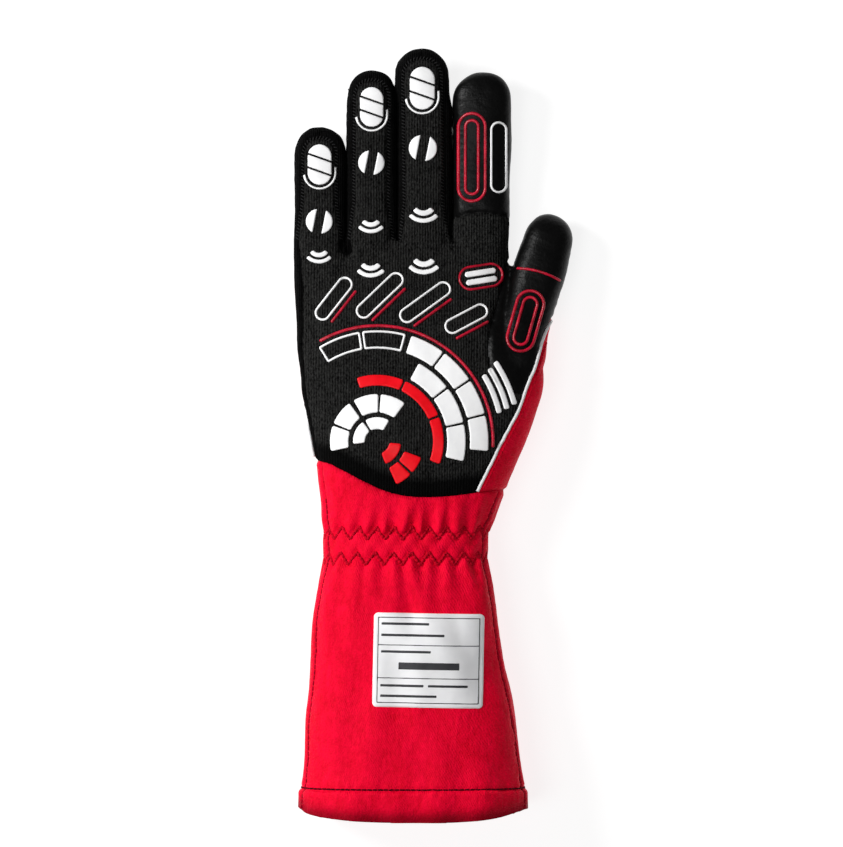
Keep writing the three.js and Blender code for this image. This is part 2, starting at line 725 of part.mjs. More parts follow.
const colours = {
  black: { color: 0x232323, roughness: 0.9, metalness: 0 },
  red: { color: 0xd9092a, roughness: 0.8, metalness: 0 },
  white: { color: 0xf2f3f4, roughness: 0.6, metalness: 0 },
  redGrip: { color: 0xe80a1e, roughness: 0.35, metalness: 0 },
};
const redCloth = ["back_panel", "cuff_front", "cuff_back"];
const redGrips = [
  "grip_index_frame",
  "grip_thumb_frame",
  "grip_sweep_red",
  "grip_stripe_1",
  "grip_stripe_2",
];

const glove = new THREE.Group();
glove.name = "racing_glove";
function addPieces(pieces, colourOf) {
  for (const [name, solid] of Object.entries(pieces)) {
    const material = new THREE.MeshStandardMaterial(colours[colourOf(name)]);
    const mesh = new THREE.Mesh(toGeometry(solid), material);
    mesh.name = name;
    glove.add(mesh);
  }
}
addPieces(clothPieces(), (name) => (redCloth.includes(name) ? "red" : "black"));
addPieces(pipingPieces(), () => "white");
addPieces({ label: labelPiece() }, () => "white");
addPieces(gripPieces(), (name) => (redGrips.includes(name) ? "redGrip" : "white"));

// Stand the glove on the middle of its footprint.
const box = new THREE.Box3().setFromObject(glove);
glove.position.set(-(box.min.x + box.max.x) / 2, -(box.min.y + box.max.y) / 2, -box.min.z);

export default glove;
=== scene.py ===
"""A racing glove for the right hand, lying on its back with the palm up.

The glove's sizes are millimetres in its own frame: +X points to the thumb, +Y to the
fingertips and +Z up, with the origin at the middle of the wrist line. put() turns them into
metres. The stage, the lights and the camera are placed in metres.
"""
import math

import bpy
import numpy as np
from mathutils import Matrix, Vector
from mathutils.bvhtree import BVHTree
from mathutils.kdtree import KDTree


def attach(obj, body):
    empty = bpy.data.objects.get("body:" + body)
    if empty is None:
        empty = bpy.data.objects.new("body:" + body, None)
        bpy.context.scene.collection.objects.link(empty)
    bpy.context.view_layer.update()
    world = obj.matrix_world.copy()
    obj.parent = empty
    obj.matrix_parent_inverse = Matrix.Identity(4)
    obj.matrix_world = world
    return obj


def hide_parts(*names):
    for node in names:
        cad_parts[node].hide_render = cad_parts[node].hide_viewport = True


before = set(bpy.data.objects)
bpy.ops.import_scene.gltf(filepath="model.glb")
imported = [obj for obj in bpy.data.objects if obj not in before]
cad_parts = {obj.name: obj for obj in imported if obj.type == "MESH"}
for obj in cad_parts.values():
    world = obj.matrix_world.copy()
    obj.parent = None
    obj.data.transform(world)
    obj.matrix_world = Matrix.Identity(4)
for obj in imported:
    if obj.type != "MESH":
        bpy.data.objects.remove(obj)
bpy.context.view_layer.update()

MM = 0.001
FOOTPRINT = np.array([12.6546, 48.3126, 0.0])  # middle of the footprint, in the glove's own frame

# Body: a sleeve from the cuff's mouth to the finger crotches
CUFF_LENGTH = 129.0
PALM_LENGTH = 136.5
MOUTH_WIDTH = 105.0
MOUTH_THICKNESS = 50.0
WRIST_WIDTH = 76.0
WRIST_THICKNESS = 36.0
PALM_THICKNESS = 38.0
WEB_THICKNESS = 11.0
FINGER_GAP = 0.4
FINGER_RISE = 9.2
FINGER_CURL = 9.0
FINGERS = [
    {"name": "little", "width": 23.7, "thickness": 16.5, "length": 53.4, "lean": 0.4},
    {"name": "ring", "width": 23.2, "thickness": 17.0, "length": 79.4, "lean": 0.5},
    {"name": "middle", "width": 24.9, "thickness": 17.5, "length": 89.2, "lean": -1.0},
    {"name": "index", "width": 26.3, "thickness": 17.5, "length": 78.4, "lean": 1.8},
]
RIBBED_FINGERS = FINGERS[:3]
PALM_WIDTH = sum(f["width"] for f in FINGERS) + 3 * FINGER_GAP
LONGEST = max(f["length"] for f in FINGERS)
THUMB_LENGTH = 87.5
THUMB_WIDTH = 24.6
THUMB_THICKNESS = 21.6
THUMB_TILT = math.radians(16)
THUMB_ROOT = np.array([0.453 * PALM_WIDTH, 0.476 * PALM_LENGTH])
THUMB_ALONG = np.array([math.sin(THUMB_TILT), math.cos(THUMB_TILT), 0.0])
THUMB_ACROSS = np.array([math.cos(THUMB_TILT), -math.sin(THUMB_TILT), 0.0])
ACROSS = np.array([1.0, 0.0, 0.0])

# Walls and seams
WALL = 1.8
CUFF_WALL = 2.0
FRONT_SEAM_RISE = 6.8
FRONT_SEAM_DIP = 1.8
CROTCH_DIP = (0.84, 0.92, 1.01, 1.13)  # where the dip begins, is full, is full still and ends
BACK_SEAM_DROP = 3.0
BACK_SEAM_DIP = 6.0
BACK_DIP_START = 0.3
INDEX_SEAM_DROP = 5.0
THUMB_SEAM_DROP = 1.0
CUFF_SEAM_RISE = 9.0

# Section rows of the body: along, swell, fill, lean, lift
BODY_ROWS = np.array([
    [-1.05, -1.0, -1.0, 0.035, 0.0],
    [-0.886, -0.99, -1.0, 0.034, 0.0],
    [-0.878, -0.945, -0.94, 0.034, 0.0],
    [-0.58, -0.63, -0.71, 0.022, 0.0],
    [-0.42, -0.45, -0.56, 0.004, 0.003],
    [-0.27, -0.27, -0.43, 0.0, 0.01],
    [-0.16, -0.12, -0.26, 0.0, 0.03],
    [-0.067, 0.0, -0.04, 0.0, 0.05],
    [0.024, 0.02, 0.04, 0.002, 0.05],
    [0.07, 0.14, 0.25, 0.01, 0.035],
    [0.121, 0.26, 0.6, 0.022, 0.015],
    [0.19, 0.47, 0.95, 0.035, 0.003],
    [0.256, 0.68, 1.0, 0.05, 0.0],
    [0.323, 0.94, 1.0, 0.062, 0.0],
    [0.42, 1.26, 1.04, 0.072, 0.0],
    [0.525, 1.52, 1.1, 0.078, 0.0],
    [0.63, 1.46, 1.2, 0.053, 0.0],
    [0.74, 1.19, 1.37, 0.015, 0.0],
    [0.84, 1.07, 1.52, -0.006, 0.0],
    [0.92, 1.02, 1.7, -0.016, 0.02],
    [1.01, 0.92, 2.0, -0.02, 0.115],
])
FINGER_ROOTS = [(-0.2, 0.6), (-0.1, 0.93), (0.0, 1.0)]  # share of the palm past the crotch, size
# Section rows of the thumb: at, wide, thick, rise
THUMB_ROWS = np.array([
    [-0.2, 0.8, 1.0, 0.7],
    [0.0, 1.22, 1.28, 0.74],
    [0.2, 1.05, 1.26, 0.74],
    [0.39, 0.96, 1.14, 0.68],
    [0.55, 0.95, 1.04, 0.62],
    [0.7, 1.0, 1.0, 0.57],
    [0.84, 0.93, 0.93, 0.53],
])
BODY_POWER = 2.6
FINGER_POWER = 2.35
TIP_POWER = 2.2
TIP_END = math.radians(86)
UNDERSIDE_SPREAD = 1.15
MIDDLE_SHARE = 0.46
TIP_SHARE = 0.56

# Seam lines in plan, as shares of the palm's width, and of the length above or below the wrist
HEEL_LINE = [
    (-0.7, 0.29), (-0.4, 0.262), (-0.3, 0.235), (-0.2, 0.198), (-0.1, 0.165), (0.0, 0.147),
    (0.1, 0.143), (0.2, 0.146), (0.34, 0.158), (0.47, 0.166), (0.8, 0.174),
]
PIPING_LINE = [
    (0.3, 0.1), (0.334, 0.164), (0.365, 0.21), (0.41, 0.275), (0.449, 0.33), (0.488, 0.384),
    (0.527, 0.44), (0.565, 0.515), (0.6, 0.585), (0.64, 0.68), (0.7, 0.77), (0.8, 0.9),
]
THUMB_LINE = [
    (0.52, 1.2), (0.5, 1.0), (0.467, 0.9), (0.43, 0.8), (0.39, 0.7), (0.385, 0.61), (0.42, 0.54),
    (0.49, 0.5), (0.57, 0.49), (0.8, 0.49),
]
INDEX_CAP_LINE = [(0.2, 1.075), (0.32, 1.1), (0.45, 1.09), (0.6, 1.04)]
KNUCKLE_LINE = [(-0.9, 0.86), (-0.25, 0.93), (0.2, 0.93), (0.9, 0.86)]
THUMB_BACK_LINE = [(0.3, 0.99), (0.5, 0.86), (0.65, 0.77), (0.9, 0.62)]
MOUTH_LINE = [
    (-0.7, -0.944), (-0.52, -0.947), (-0.49, -0.954), (-0.45, -0.974), (-0.34, -0.988),
    (-0.15, -0.998), (0.05, -1.0), (0.25, -0.998), (0.42, -0.985), (0.52, -0.966),
    (0.57, -0.956), (0.7, -0.952),
]

# Surface making
VOXEL = 0.84
SLIM = 0.75  # fingers are remeshed this much narrower on each side, then widened again
WIDEN_FROM = {"little": (12, 10), "other": (6, 8)}  # below the crotches, and over what length
TOUCH = (-0.2, 0.0, -0.5)  # the gap left in each slit, where less than none is an overlap
SLIT_DEEP = 8.0
SLIT_SOFT = 6.0
SLIT_BOW = {"depth": 0.55, "width": 2.5, "reach": 6, "wave": 3.2}
LEAN_ON = {"past": 7, "over": 12}  # how far past its shoulder a finger is leaned on
INDEX_EDGE = 0.56
SMOOTHING = 5
LOWEST_SKIN = 0.02
LOWEST_LINING = 0.06
FAR = 1e9

# The two rows of elastic, with the gathers on the side of each that is open
ELASTIC_ROWS = [
    {"y": 3.2, "swing": 3.3, "open": 1, "phase": 0.0, "depth": 1.25, "reach": 13.0, "seed": 5},
    {"y": -8.6, "swing": 3.3, "open": -1, "phase": 0.5, "depth": 1.0, "reach": 30.0, "seed": 6},
]
TEETH = 23
WRIST_GIRTH = 190.0
GATHER_DEPTH = 1.1
SEAM_GROOVE = {"depth": 0.85, "width": 1.15}
THREAD_GROOVE = {"depth": 0.4, "width": 1.2}
ELASTIC_GROOVE = {"depth": 0.35, "width": 3.0}
HEM_GROOVE = {"depth": 0.8, "width": 1.0}
HEM_Y = -0.882 * CUFF_LENGTH
HEM_ROLL = {"depth": 2.4, "width": 3.6}
HEM_SWELL = 0.5
# Soft dents of worn cloth: their waves, as length, count, seed and stretch, and their depth
# on the palm, on the cuff, on the fingers and everywhere
DENTS = [
    ((46, 10, 3, 1.0), (0.6, 1.4, 0.15, 0.0)),
    ((15, 12, 8, 0.55), (0.26, 0.42, 0.2, 0.0)),
    ((17, 10, 17, 0.25), (0.0, 0.5, 0.0, 0.0)),
    ((5.5, 16, 21, 1.0), (0.0, 0.0, 0.0, 0.035)),
]
HEM_PUCKERS = {"depth": 0.16, "width": 4.0, "field": (5.0, 12, 44, 0.2)}
SEAM_PUCKERS = {"depth": 0.2, "width": 3.2, "field": (5.0, 12, 31, 1.0)}
# The range of each tooth's ridge, drawn in this order: size, fade, drift and width
RIDGE = [(0.65, 1.25), (0.6, 1.5), (-0.0009, 0.0009), (0.23, 0.31)]
RIDGE_FADE = 1.6
RIDGE_SPREAD = 30
BETWEEN_RIDGES = 0.45
BETWEEN_ROWS = 0.4
AT_SIDES = 0.3
UNEVEN = (2.1, 0.8)  # a gather's mean size, and how much more it is on the thumb's side
INDEX_DIMPLE = {"x": 34, "y": 87, "along": 0.7, "width": 5.5, "depth": 1.6}
THUMB_FOLD = {"x": 50, "y": 83, "width": 8, "depth": 1.6}


def bell(distance, width):
    """1 at no distance, falling to almost 0 at twice the width."""
    return np.exp(-((distance / width) ** 2))


def groove(distance, depth, width):
    return depth * bell(distance, width)


def ramp(value, reach):
    """0 up to a value of 0, then rising to 1 over the reach."""
    return np.clip(value / reach, 0, 1)


def unit(rows):
    """Each row with a length of one."""
    return rows / np.maximum(np.linalg.norm(rows, axis=1, keepdims=True), 1e-9)


def placed(name, data):
    """A new object in the scene."""
    thing = bpy.data.objects.new(name, data)
    bpy.context.scene.collection.objects.link(thing)
    return thing


def blend_rows(x, rows, at):
    """Rows at the given places on smooth curves through rows, without overshoot."""
    step = np.diff(x)[:, None]
    slope = np.diff(rows, axis=0) / step
    before, after = slope[:-1], slope[1:]
    mean = 2 * after * before / (after + before + 1e-12)
    tangent = np.concatenate([slope[:1], np.where(after * before > 0, mean, 0), slope[-1:]])
    at = np.clip(at, x[0], x[-1])
    i = np.clip(np.searchsorted(x, at, side="right") - 1, 0, len(x) - 2)
    h = step[i]
    t = (at - x[i])[:, None] / h
    a = (1 + 2 * t) * (1 - t) ** 2
    b = t * (1 - t) ** 2
    c = t * t * (3 - 2 * t)
    d = t * t * (t - 1)
    return a * rows[i] + b * h * tangent[i] + c * rows[i + 1] + d * h * tangent[i + 1]


def body_sections():
    """Rows of y, x, half width, thickness, bottom and middle height."""
    along, swell, fill, lean, lift = BODY_ROWS.T
    widen = np.where(swell < 0, WRIST_WIDTH - MOUTH_WIDTH, PALM_WIDTH - WRIST_WIDTH)
    to_mouth = WRIST_THICKNESS - fill * (MOUTH_THICKNESS - WRIST_THICKNESS)
    to_palm = WRIST_THICKNESS + fill * (PALM_THICKNESS - WRIST_THICKNESS)
    to_web = PALM_THICKNESS + (fill - 1) * (WEB_THICKNESS - PALM_THICKNESS)
    thick = np.select([fill < 0, fill < 1], [to_mouth, to_palm], to_web)
    bottom = lift * WRIST_THICKNESS
    y = along * np.where(along < 0, CUFF_LENGTH, PALM_LENGTH)
    half = (WRIST_WIDTH + swell * widen) / 2
    return np.stack([y, lean * PALM_WIDTH, half, thick, bottom, bottom + MIDDLE_SHARE * thick], 1)


SECTIONS = body_sections()


def sleeve_x(y):
    """The sleeve's middle in X at each of some places along it."""
    return blend_rows(SECTIONS[:, 0], SECTIONS[:, 1:2], np.asarray(y, float))[:, 0]


def curl_at(y):
    return FINGER_CURL * (np.maximum(0, y - PALM_LENGTH) / LONGEST) ** 2


def middle_at(y):
    body = np.interp(y, SECTIONS[:, 0], SECTIONS[:, 5])
    return np.where(y >= PALM_LENGTH, FINGER_RISE + curl_at(y), body)


def place_fingers():
    edge = SECTIONS[-1, 1] - PALM_WIDTH / 2
    for finger in FINGERS:
        finger["x"] = edge + finger["width"] / 2
        finger["tip"] = finger["width"] * TIP_SHARE
        finger["shoulder"] = PALM_LENGTH + finger["length"] - finger["tip"]
        edge += finger["width"] + FINGER_GAP


place_fingers()
LOW_SLIT = FINGERS[0]["x"] + (FINGERS[0]["width"] + FINGER_GAP) / 2


def finger_axis(finger, y):
    share = np.maximum(0, (y - PALM_LENGTH) / finger["length"])
    return finger["x"] + finger["lean"] * share


def below_tip(finger, widths):
    """The place on a finger's axis at so many of its widths below its end."""
    y = PALM_LENGTH + finger["length"] - widths * finger["width"]
    return finger_axis(finger, y), y


def thumb_point(at, high=0.0):
    point = np.array([*THUMB_ROOT, high * THUMB_THICKNESS])
    return point + THUMB_ALONG * at * THUMB_LENGTH


def tip_curve(count, last=TIP_END):
    """Pairs of size and reach along a rounded tip, from its shoulder."""
    return [
        (math.cos(angle) ** (2 / TIP_POWER), math.sin(angle) ** (2 / TIP_POWER))
        for angle in np.linspace(0, last, count)
    ]


def ring(middle, across, wide, up, down, power, floor, sides):
    """A rounded section across the direction, flattened by the floor."""
    angle = np.linspace(0, 2 * math.pi, sides, endpoint=False)
    c = np.cos(angle)
    s = np.sin(angle)
    c = np.sign(c) * np.abs(c) ** (2 / power)
    s = np.sign(s) * np.abs(s) ** (2 / power)
    points = middle + np.outer(wide * c, across)
    points[:, 2] = np.maximum(floor, points[:, 2] + np.where(s > 0, up, down) * s)
    return points


def loft(rings):
    """Points and faces of a closed body through rings, with a fan at each end."""
    sides = len(rings[0])
    points = np.concatenate([*rings, [rings[0].mean(0)], [rings[-1].mean(0)]])
    faces = []
    last = len(rings) - 1
    ends = (len(points) - 2, len(points) - 1)
    for k in range(sides):
        n = (k + 1) % sides
        for i in range(last):
            a = i * sides
            faces.append((a + k, a + sides + k, a + sides + n, a + n))
        faces.append((ends[0], k, n))
        faces.append((ends[1], last * sides + n, last * sides + k))
    return points, faces


def body_loft(step=1.6, sides=120, web_reach=22):
    ys = np.arange(SECTIONS[0, 0], SECTIONS[-1, 0] + 0.5, step)
    rows = blend_rows(SECTIONS[:, 0], SECTIONS[:, 1:], ys)
    rings = []
    for y, (x, half, thick, bottom, middle) in zip(ys, rows):
        points = ring(
            np.array([x, y, middle]), ACROSS, half, thick - (middle - bottom),
            (middle - bottom) * UNDERSIDE_SPREAD, BODY_POWER, bottom, sides,
        )
        # the web between the little and ring fingers is lower than the others
        near = bell(points[:, 0] - LOW_SLIT, SLIT_SOFT)
        points[:, 1] -= SLIT_DEEP * near * ramp(y - PALM_LENGTH + web_reach, web_reach)
        rings.append(points)
    return loft(rings)


def finger_loft(finger, step=3.0, sides=48):
    wide = finger["width"] / 2 - SLIM
    half = finger["thickness"] / 2
    rows = [(PALM_LENGTH * (1 + back), size) for back, size in FINGER_ROOTS]
    rows += [(y, 1.0) for y in np.arange(PALM_LENGTH + step, finger["shoulder"], step)]
    for size, reach in tip_curve(10):
        rows.append((finger["shoulder"] + finger["tip"] * reach, 0.99 * size))
    rings = []
    for y, size in rows:
        middle = np.array([finger_axis(finger, y), y, FINGER_RISE + curl_at(y)])
        up = size * half
        rings.append(ring(middle, ACROSS, size * wide, up, up, FINGER_POWER, 0.0, sides))
    return loft(rings)


def thumb_loft(step=0.025, sides=56):
    last = THUMB_ROWS[-1]
    tip = THUMB_LENGTH * (1 - last[0])
    places = np.arange(THUMB_ROWS[0, 0], last[0], step)
    rows = blend_rows(THUMB_ROWS[:, 0], THUMB_ROWS[:, 1:], places)
    stations = [(at, 1.0, *row) for at, row in zip(places, rows)]
    for size, reach in tip_curve(12):
        stations.append((last[0] + tip * reach / THUMB_LENGTH, size, *last[1:]))
    rings = []
    for at, size, wide, thick, high in stations:
        half = size * wide * THUMB_WIDTH / 2
        up = size * thick * THUMB_THICKNESS / 2
        rings.append(ring(thumb_point(at, high), THUMB_ACROSS, half, up, up, FINGER_POWER, 0.0, sides))
    return loft(rings)


def voxel_skin():
    """One closed triangle skin over the whole glove: points in millimetres and triangles."""
    points = []
    faces = []
    for part_points, part_faces in [body_loft(), *map(finger_loft, FINGERS), thumb_loft()]:
        start = sum(len(p) for p in points)
        points.append(part_points)
        faces += [tuple(v + start for v in face) for face in part_faces]
    mesh = bpy.data.meshes.new("lofts")
    mesh.from_pydata((np.concatenate(points) * MM).tolist(), [], faces)
    lofts = placed("lofts", mesh)
    remesh = lofts.modifiers.new("remesh", "REMESH")
    remesh.mode = "VOXEL"
    remesh.voxel_size = VOXEL * MM
    solid = lofts.evaluated_get(bpy.context.evaluated_depsgraph_get()).to_mesh()
    flat = np.empty(len(solid.vertices) * 3)
    solid.vertices.foreach_get("co", flat)
    skin = flat.reshape(-1, 3) / MM
    solid.calc_loop_triangles()
    corners = np.empty(len(solid.loop_triangles) * 3, np.int32)
    solid.loop_triangles.foreach_get("vertices", corners)
    bpy.data.objects.remove(lofts)
    bpy.data.meshes.remove(mesh)
    return skin, corners.reshape(-1, 3)


def sides_of(tris):
    return np.concatenate([tris[:, [0, 1]], tris[:, [1, 2]], tris[:, [2, 0]]])


def edges_of(tris):
    return np.unique(np.sort(sides_of(tris), 1), axis=0)


def rim_edges(tris):
    """Edges with a triangle on one side only, in that triangle's direction."""
    pairs = sides_of(tris)
    ordered = np.sort(pairs, 1).astype(np.int64)
    key = ordered[:, 0] * (tris.max() + 1) + ordered[:, 1]
    _, where, count = np.unique(key, return_index=True, return_counts=True)
    return pairs[where[count == 1]]


def added(numbers, rows, count):
    """The sum of the rows that have each number."""
    return np.stack([np.bincount(numbers, column, count) for column in rows.T], 1)


def smooth(points, tris, rounds, pull=0.5, push=-0.52):
    """Evens out small steps without shrinking."""
    count = len(points)
    edges = edges_of(tris)
    a, b = edges.T
    degree = np.bincount(edges.ravel(), minlength=count)[:, None]
    for factor in (pull, push) * rounds:
        total = added(a, points[b], count) + added(b, points[a], count)
        points = points + factor * (total / degree - points)
    return points


def normals_of(points, tris):
    a, b, c = (points[tris[:, i]] for i in range(3))
    across = np.cross(b - a, c - a)
    return unit(sum(added(tris[:, i], across, len(points)) for i in range(3)))


def slit_at(i, y):
    """The middle of the slit between finger i and the next."""
    left, right = FINGERS[i], FINGERS[i + 1]
    edges = finger_axis(left, y) + left["width"] / 2 + finger_axis(right, y) - right["width"] / 2
    return edges / 2


def beside(finger, y):
    """How far a finger's side is still there to lean on, from 1 below its tip to 0 past it."""
    share = ramp(finger["shoulder"] + LEAN_ON["past"] - y, LEAN_ON["over"])
    return share * share * (3 - 2 * share)


def slit_sides(i, y):
    """Finger i's axis, and its reach left and right of it where neighbours meet."""
    axis = finger_axis(FINGERS[i], y)
    half = FINGERS[i]["width"] / 2
    reaches = []
    for side, slit in ((-1, i - 1), (1, i)):
        reach = np.full(len(y), half)
        if 0 <= i + side < len(FINGERS):
            other = FINGERS[i + side]
            between = side * (finger_axis(other, y) - axis) - other["width"] / 2 - half
            reach = half + beside(other, y) * (between - TOUCH[slit]) / 2
        reaches.append(reach)
    return axis, *reaches


def widen_fingers(points):
    """Gives the fingers their full width, so that neighbours almost touch."""
    y = points[:, 1]
    for i, finger in enumerate(FINGERS):
        low = -FAR if i == 0 else slit_at(i - 1, y)
        high = FAR if i == 3 else slit_at(i, y)
        axis, left, right = slit_sides(i, y)
        inside = (points[:, 0] > low) & (points[:, 0] <= high)
        if i == 3:
            inside &= points[:, 0] < axis + finger["width"] * INDEX_EDGE
        start, reach = WIDEN_FROM.get(finger["name"], WIDEN_FROM["other"])
        share = ramp(y - (PALM_LENGTH - start), reach)
        full = np.where(points[:, 0] < axis, left, right) / (finger["width"] / 2 - SLIM)
        points[inside, 0] = (axis + (points[:, 0] - axis) * (1 + share * (full - 1)))[inside]
    # the walls of a slit bow together, so that no light falls through it
    bow = SLIT_BOW
    for i in range(3):
        near = bell(points[:, 0] - slit_at(i, y), bow["width"])
        held = both(beside(FINGERS[i], y), beside(FINGERS[i + 1], y))
        share = ramp(y - PALM_LENGTH, bow["reach"]) * held
        high = points[:, 2] - middle_at(y)
        points[:, 0] += bow["depth"] * share * near * np.sin(high / bow["wave"])
    return points


def spline(shares, steps=6):
    """A smooth plan line through points given as shares."""
    line = np.array([
        (x * PALM_WIDTH, y * (CUFF_LENGTH if y < 0 else PALM_LENGTH)) for x, y in shares
    ])
    padded = np.concatenate([[2 * line[0] - line[1]], line, [2 * line[-1] - line[-2]]])
    out = []
    for i in range(1, len(padded) - 2):
        p0, p1, p2, p3 = padded[i - 1:i + 3]
        for t in np.linspace(0, 1, steps, endpoint=False):
            out.append(0.5 * (2 * p1 + (p2 - p0) * t + (2 * p0 - 5 * p1 + 4 * p2 - p3) * t * t
                              + (3 * p1 - p0 - 3 * p2 + p3) * t ** 3))
    out.append(line[-1])
    return np.array(out)


def side_of(points, shares):
    """Distance to a plan line, positive on its left."""
    line = spline(shares)
    best = np.full(len(points), FAR)
    sign = np.ones(len(points))
    for a, b in zip(line[:-1], line[1:]):
        d = b - a
        rel = points[:, :2] - a
        t = np.clip(rel @ d / (d @ d), 0, 1)
        gap = np.hypot(rel[:, 0] - t * d[0], rel[:, 1] - t * d[1])
        nearer = gap < best
        best[nearer] = gap[nearer]
        sign[nearer] = np.sign(d[0] * rel[:, 1] - d[1] * rel[:, 0])[nearer]
    return best * sign


def back_seam(y):
    share = np.clip(y / PALM_LENGTH, BACK_DIP_START, 1)
    share = (share - BACK_DIP_START) / (1 - BACK_DIP_START)
    return -BACK_SEAM_DROP - BACK_SEAM_DIP * np.sin(math.pi * share) ** 2


def front_seam(y):
    near_crotches = np.interp(y / PALM_LENGTH, CROTCH_DIP, (0, 1, 1, 0))
    return FRONT_SEAM_RISE - FRONT_SEAM_DIP * near_crotches


def both(*values):
    return np.minimum.reduce(values)


def either(*values):
    return np.maximum.reduce(values)


def halves(cut, left, right):
    """Left where cut is negative and right where it is positive, with no border between."""
    return either(both(left, right), both(left, -cut), both(right, cut))


def panel_values(points):
    """How far each point lies inside each panel: name to values."""
    x, y, z = points.T
    high = z - middle_at(y)
    cuff = -side_of(points, HEEL_LINE)
    red = -side_of(points, PIPING_LINE)
    thumb = side_of(points, THUMB_LINE)
    knuckles = side_of(points, KNUCKLE_LINE)
    thumb_back = side_of(points, THUMB_BACK_LINE)
    mouth = side_of(points, MOUTH_LINE)
    right = x - slit_at(2, y)
    cap = both(right, side_of(points, INDEX_CAP_LINE))
    front = either(high - front_seam(y), both(high + INDEX_SEAM_DROP, right))
    over_back = halves(right, high - back_seam(y), high + INDEX_SEAM_DROP)
    over_back = halves(thumb, over_back, high + THUMB_SEAM_DROP)
    black_front = both(over_back, -red)
    strips = both(-cuff, -thumb, -red, -front, over_back, -right)
    cut = [f["x"] + f["lean"] for f in RIBBED_FINGERS]
    return {
        "palm_panel": both(-cuff, -thumb, -red, front, -cap),
        "index_cap": both(-cuff, -thumb, -red, front, cap),
        "little_side_strip": both(strips, cut[0] - x),
        "fourchette_little_ring": both(strips, x - cut[0], cut[1] - x),
        "fourchette_ring_middle": both(strips, x - cut[1], cut[2] - x),
        "fourchette_middle_index": both(strips, x - cut[2]),
        "knuckle_panel": both(-cuff, knuckles, -thumb, -black_front),
        "thumb_front": both(-cuff, thumb, -red, high + THUMB_SEAM_DROP),
        "thumb_back": both(-cuff, thumb, thumb_back, -black_front),
        "back_panel": both(-cuff, -black_front, -both(knuckles, -thumb), -both(thumb_back, thumb)),
        "cuff_front": both(cuff, high - CUFF_SEAM_RISE, mouth),
        "cuff_back": both(cuff, CUFF_SEAM_RISE - high, mouth),
        "beyond": -mouth,
    }


def split(points, tris, label, values):
    """Cuts the triangles where neighbouring labels are equal. Returns the points, the
    triangles, each triangle's label, and the numbers of the points on the cuts."""
    corner = label[tris]
    edges = edges_of(tris)
    a, b = edges[label[edges[:, 0]] != label[edges[:, 1]]].T
    rows = np.arange(len(a))
    at_a, at_b = (values[p][rows, label[a]] - values[p][rows, label[b]] for p in (a, b))
    t = np.clip(at_a / np.where(at_a == at_b, 1, at_a - at_b), 0.08, 0.92)[:, None]
    fresh = points[a] * (1 - t) + points[b] * t
    start = len(points)
    key = a.astype(np.int64) * start + b

    def on_edge(a, b):
        low, high = np.minimum(a, b), np.maximum(a, b)
        return start + np.searchsorted(key, low.astype(np.int64) * start + high)

    same = (corner[:, 0] == corner[:, 1]) & (corner[:, 1] == corner[:, 2])
    out = [tris[same]]
    tags = [corner[same, 0]]

    def keep(*columns, tag):
        out.append(np.stack(columns, 1))
        tags.append(tag)

    for k in range(3):
        order = [k, (k + 1) % 3, (k + 2) % 3]
        ca, cb, cc = corner[:, order].T
        odd = (cb == cc) & (ca != cb)
        if odd.any():
            a, b, c = tris[odd][:, order].T
            ab, ac = on_edge(a, b), on_edge(a, c)
            keep(a, ab, ac, tag=ca[odd])
            keep(ab, b, c, tag=cb[odd])
            keep(ab, c, ac, tag=cb[odd])
    three = (corner[:, 0] != corner[:, 1]) & (corner[:, 1] != corner[:, 2])
    three &= corner[:, 0] != corner[:, 2]
    hubs = points[tris[three]].mean(1)
    hub = start + len(fresh) + np.arange(len(hubs))
    for k in range(3):
        a, b, c = (tris[three][:, (k + i) % 3] for i in range(3))
        if len(a):
            keep(a, on_edge(a, b), hub, tag=label[a])
            keep(a, hub, on_edge(a, c), tag=label[a])
    points = np.concatenate([points, fresh, hubs])
    return points, np.concatenate(out), np.concatenate(tags), np.arange(start, len(points))


def submesh(points, tris):
    """The points in use, the triangles renumbered to them, and the points' old numbers."""
    used = np.unique(tris)
    number = np.zeros(len(points), np.int64)
    number[used] = np.arange(len(used))
    return points[used], number[tris], used


def joined(solids):
    points = []
    tris = []
    start = 0
    for part_points, part_tris in solids:
        points.append(part_points)
        tris.append(part_tris + start)
        start += len(part_points)
    return np.concatenate(points), np.concatenate(tris)


def closed(top, under, tris):
    """A closed wall between two sheets with the same triangles."""
    count = len(top)
    a, b = rim_edges(tris).T
    rim = [np.stack([b, a, a + count], 1), np.stack([b, a + count, b + count], 1)]
    return np.concatenate([top, under]), np.concatenate([tris, tris[:, ::-1] + count, *rim])


def put(name, points, tris, material, slot, shade=None):
    """Makes an object from points in millimetres. shade is a share of its colour's light
    for each point."""
    mesh = bpy.data.meshes.new(name)
    mesh.from_pydata(((points - FOOTPRINT) * MM).tolist(), [], tris.tolist())
    mesh.polygons.foreach_set("use_smooth", np.full(len(tris), True))
    mesh.validate()
    if shade is not None:
        mesh.attributes.new("shade", "FLOAT", "POINT").data.foreach_set("value", shade)
    mesh.materials.append(material)
    piece = placed(name, mesh)
    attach(piece, "root")
    return piece


def waves(points, length, count, seed, along):
    """A smooth random field of about -1 to 1 with the given wavelength, drawn out in Y where
    along is under 1."""
    points = points * [1, along, 1]
    local = np.random.default_rng(seed)
    total = np.zeros(len(points))
    for _ in range(count):
        way = local.normal(size=3)
        way *= 2 * math.pi / length / np.linalg.norm(way) * local.uniform(0.7, 1.4)
        total += np.sin(points @ way + local.uniform(0, 2 * math.pi))
    return total / math.sqrt(count)


def puckers(points, away, depth, width, field):
    """Small waves of the cloth near a line of stitches."""
    return depth * bell(away, width) * waves(points, *field)


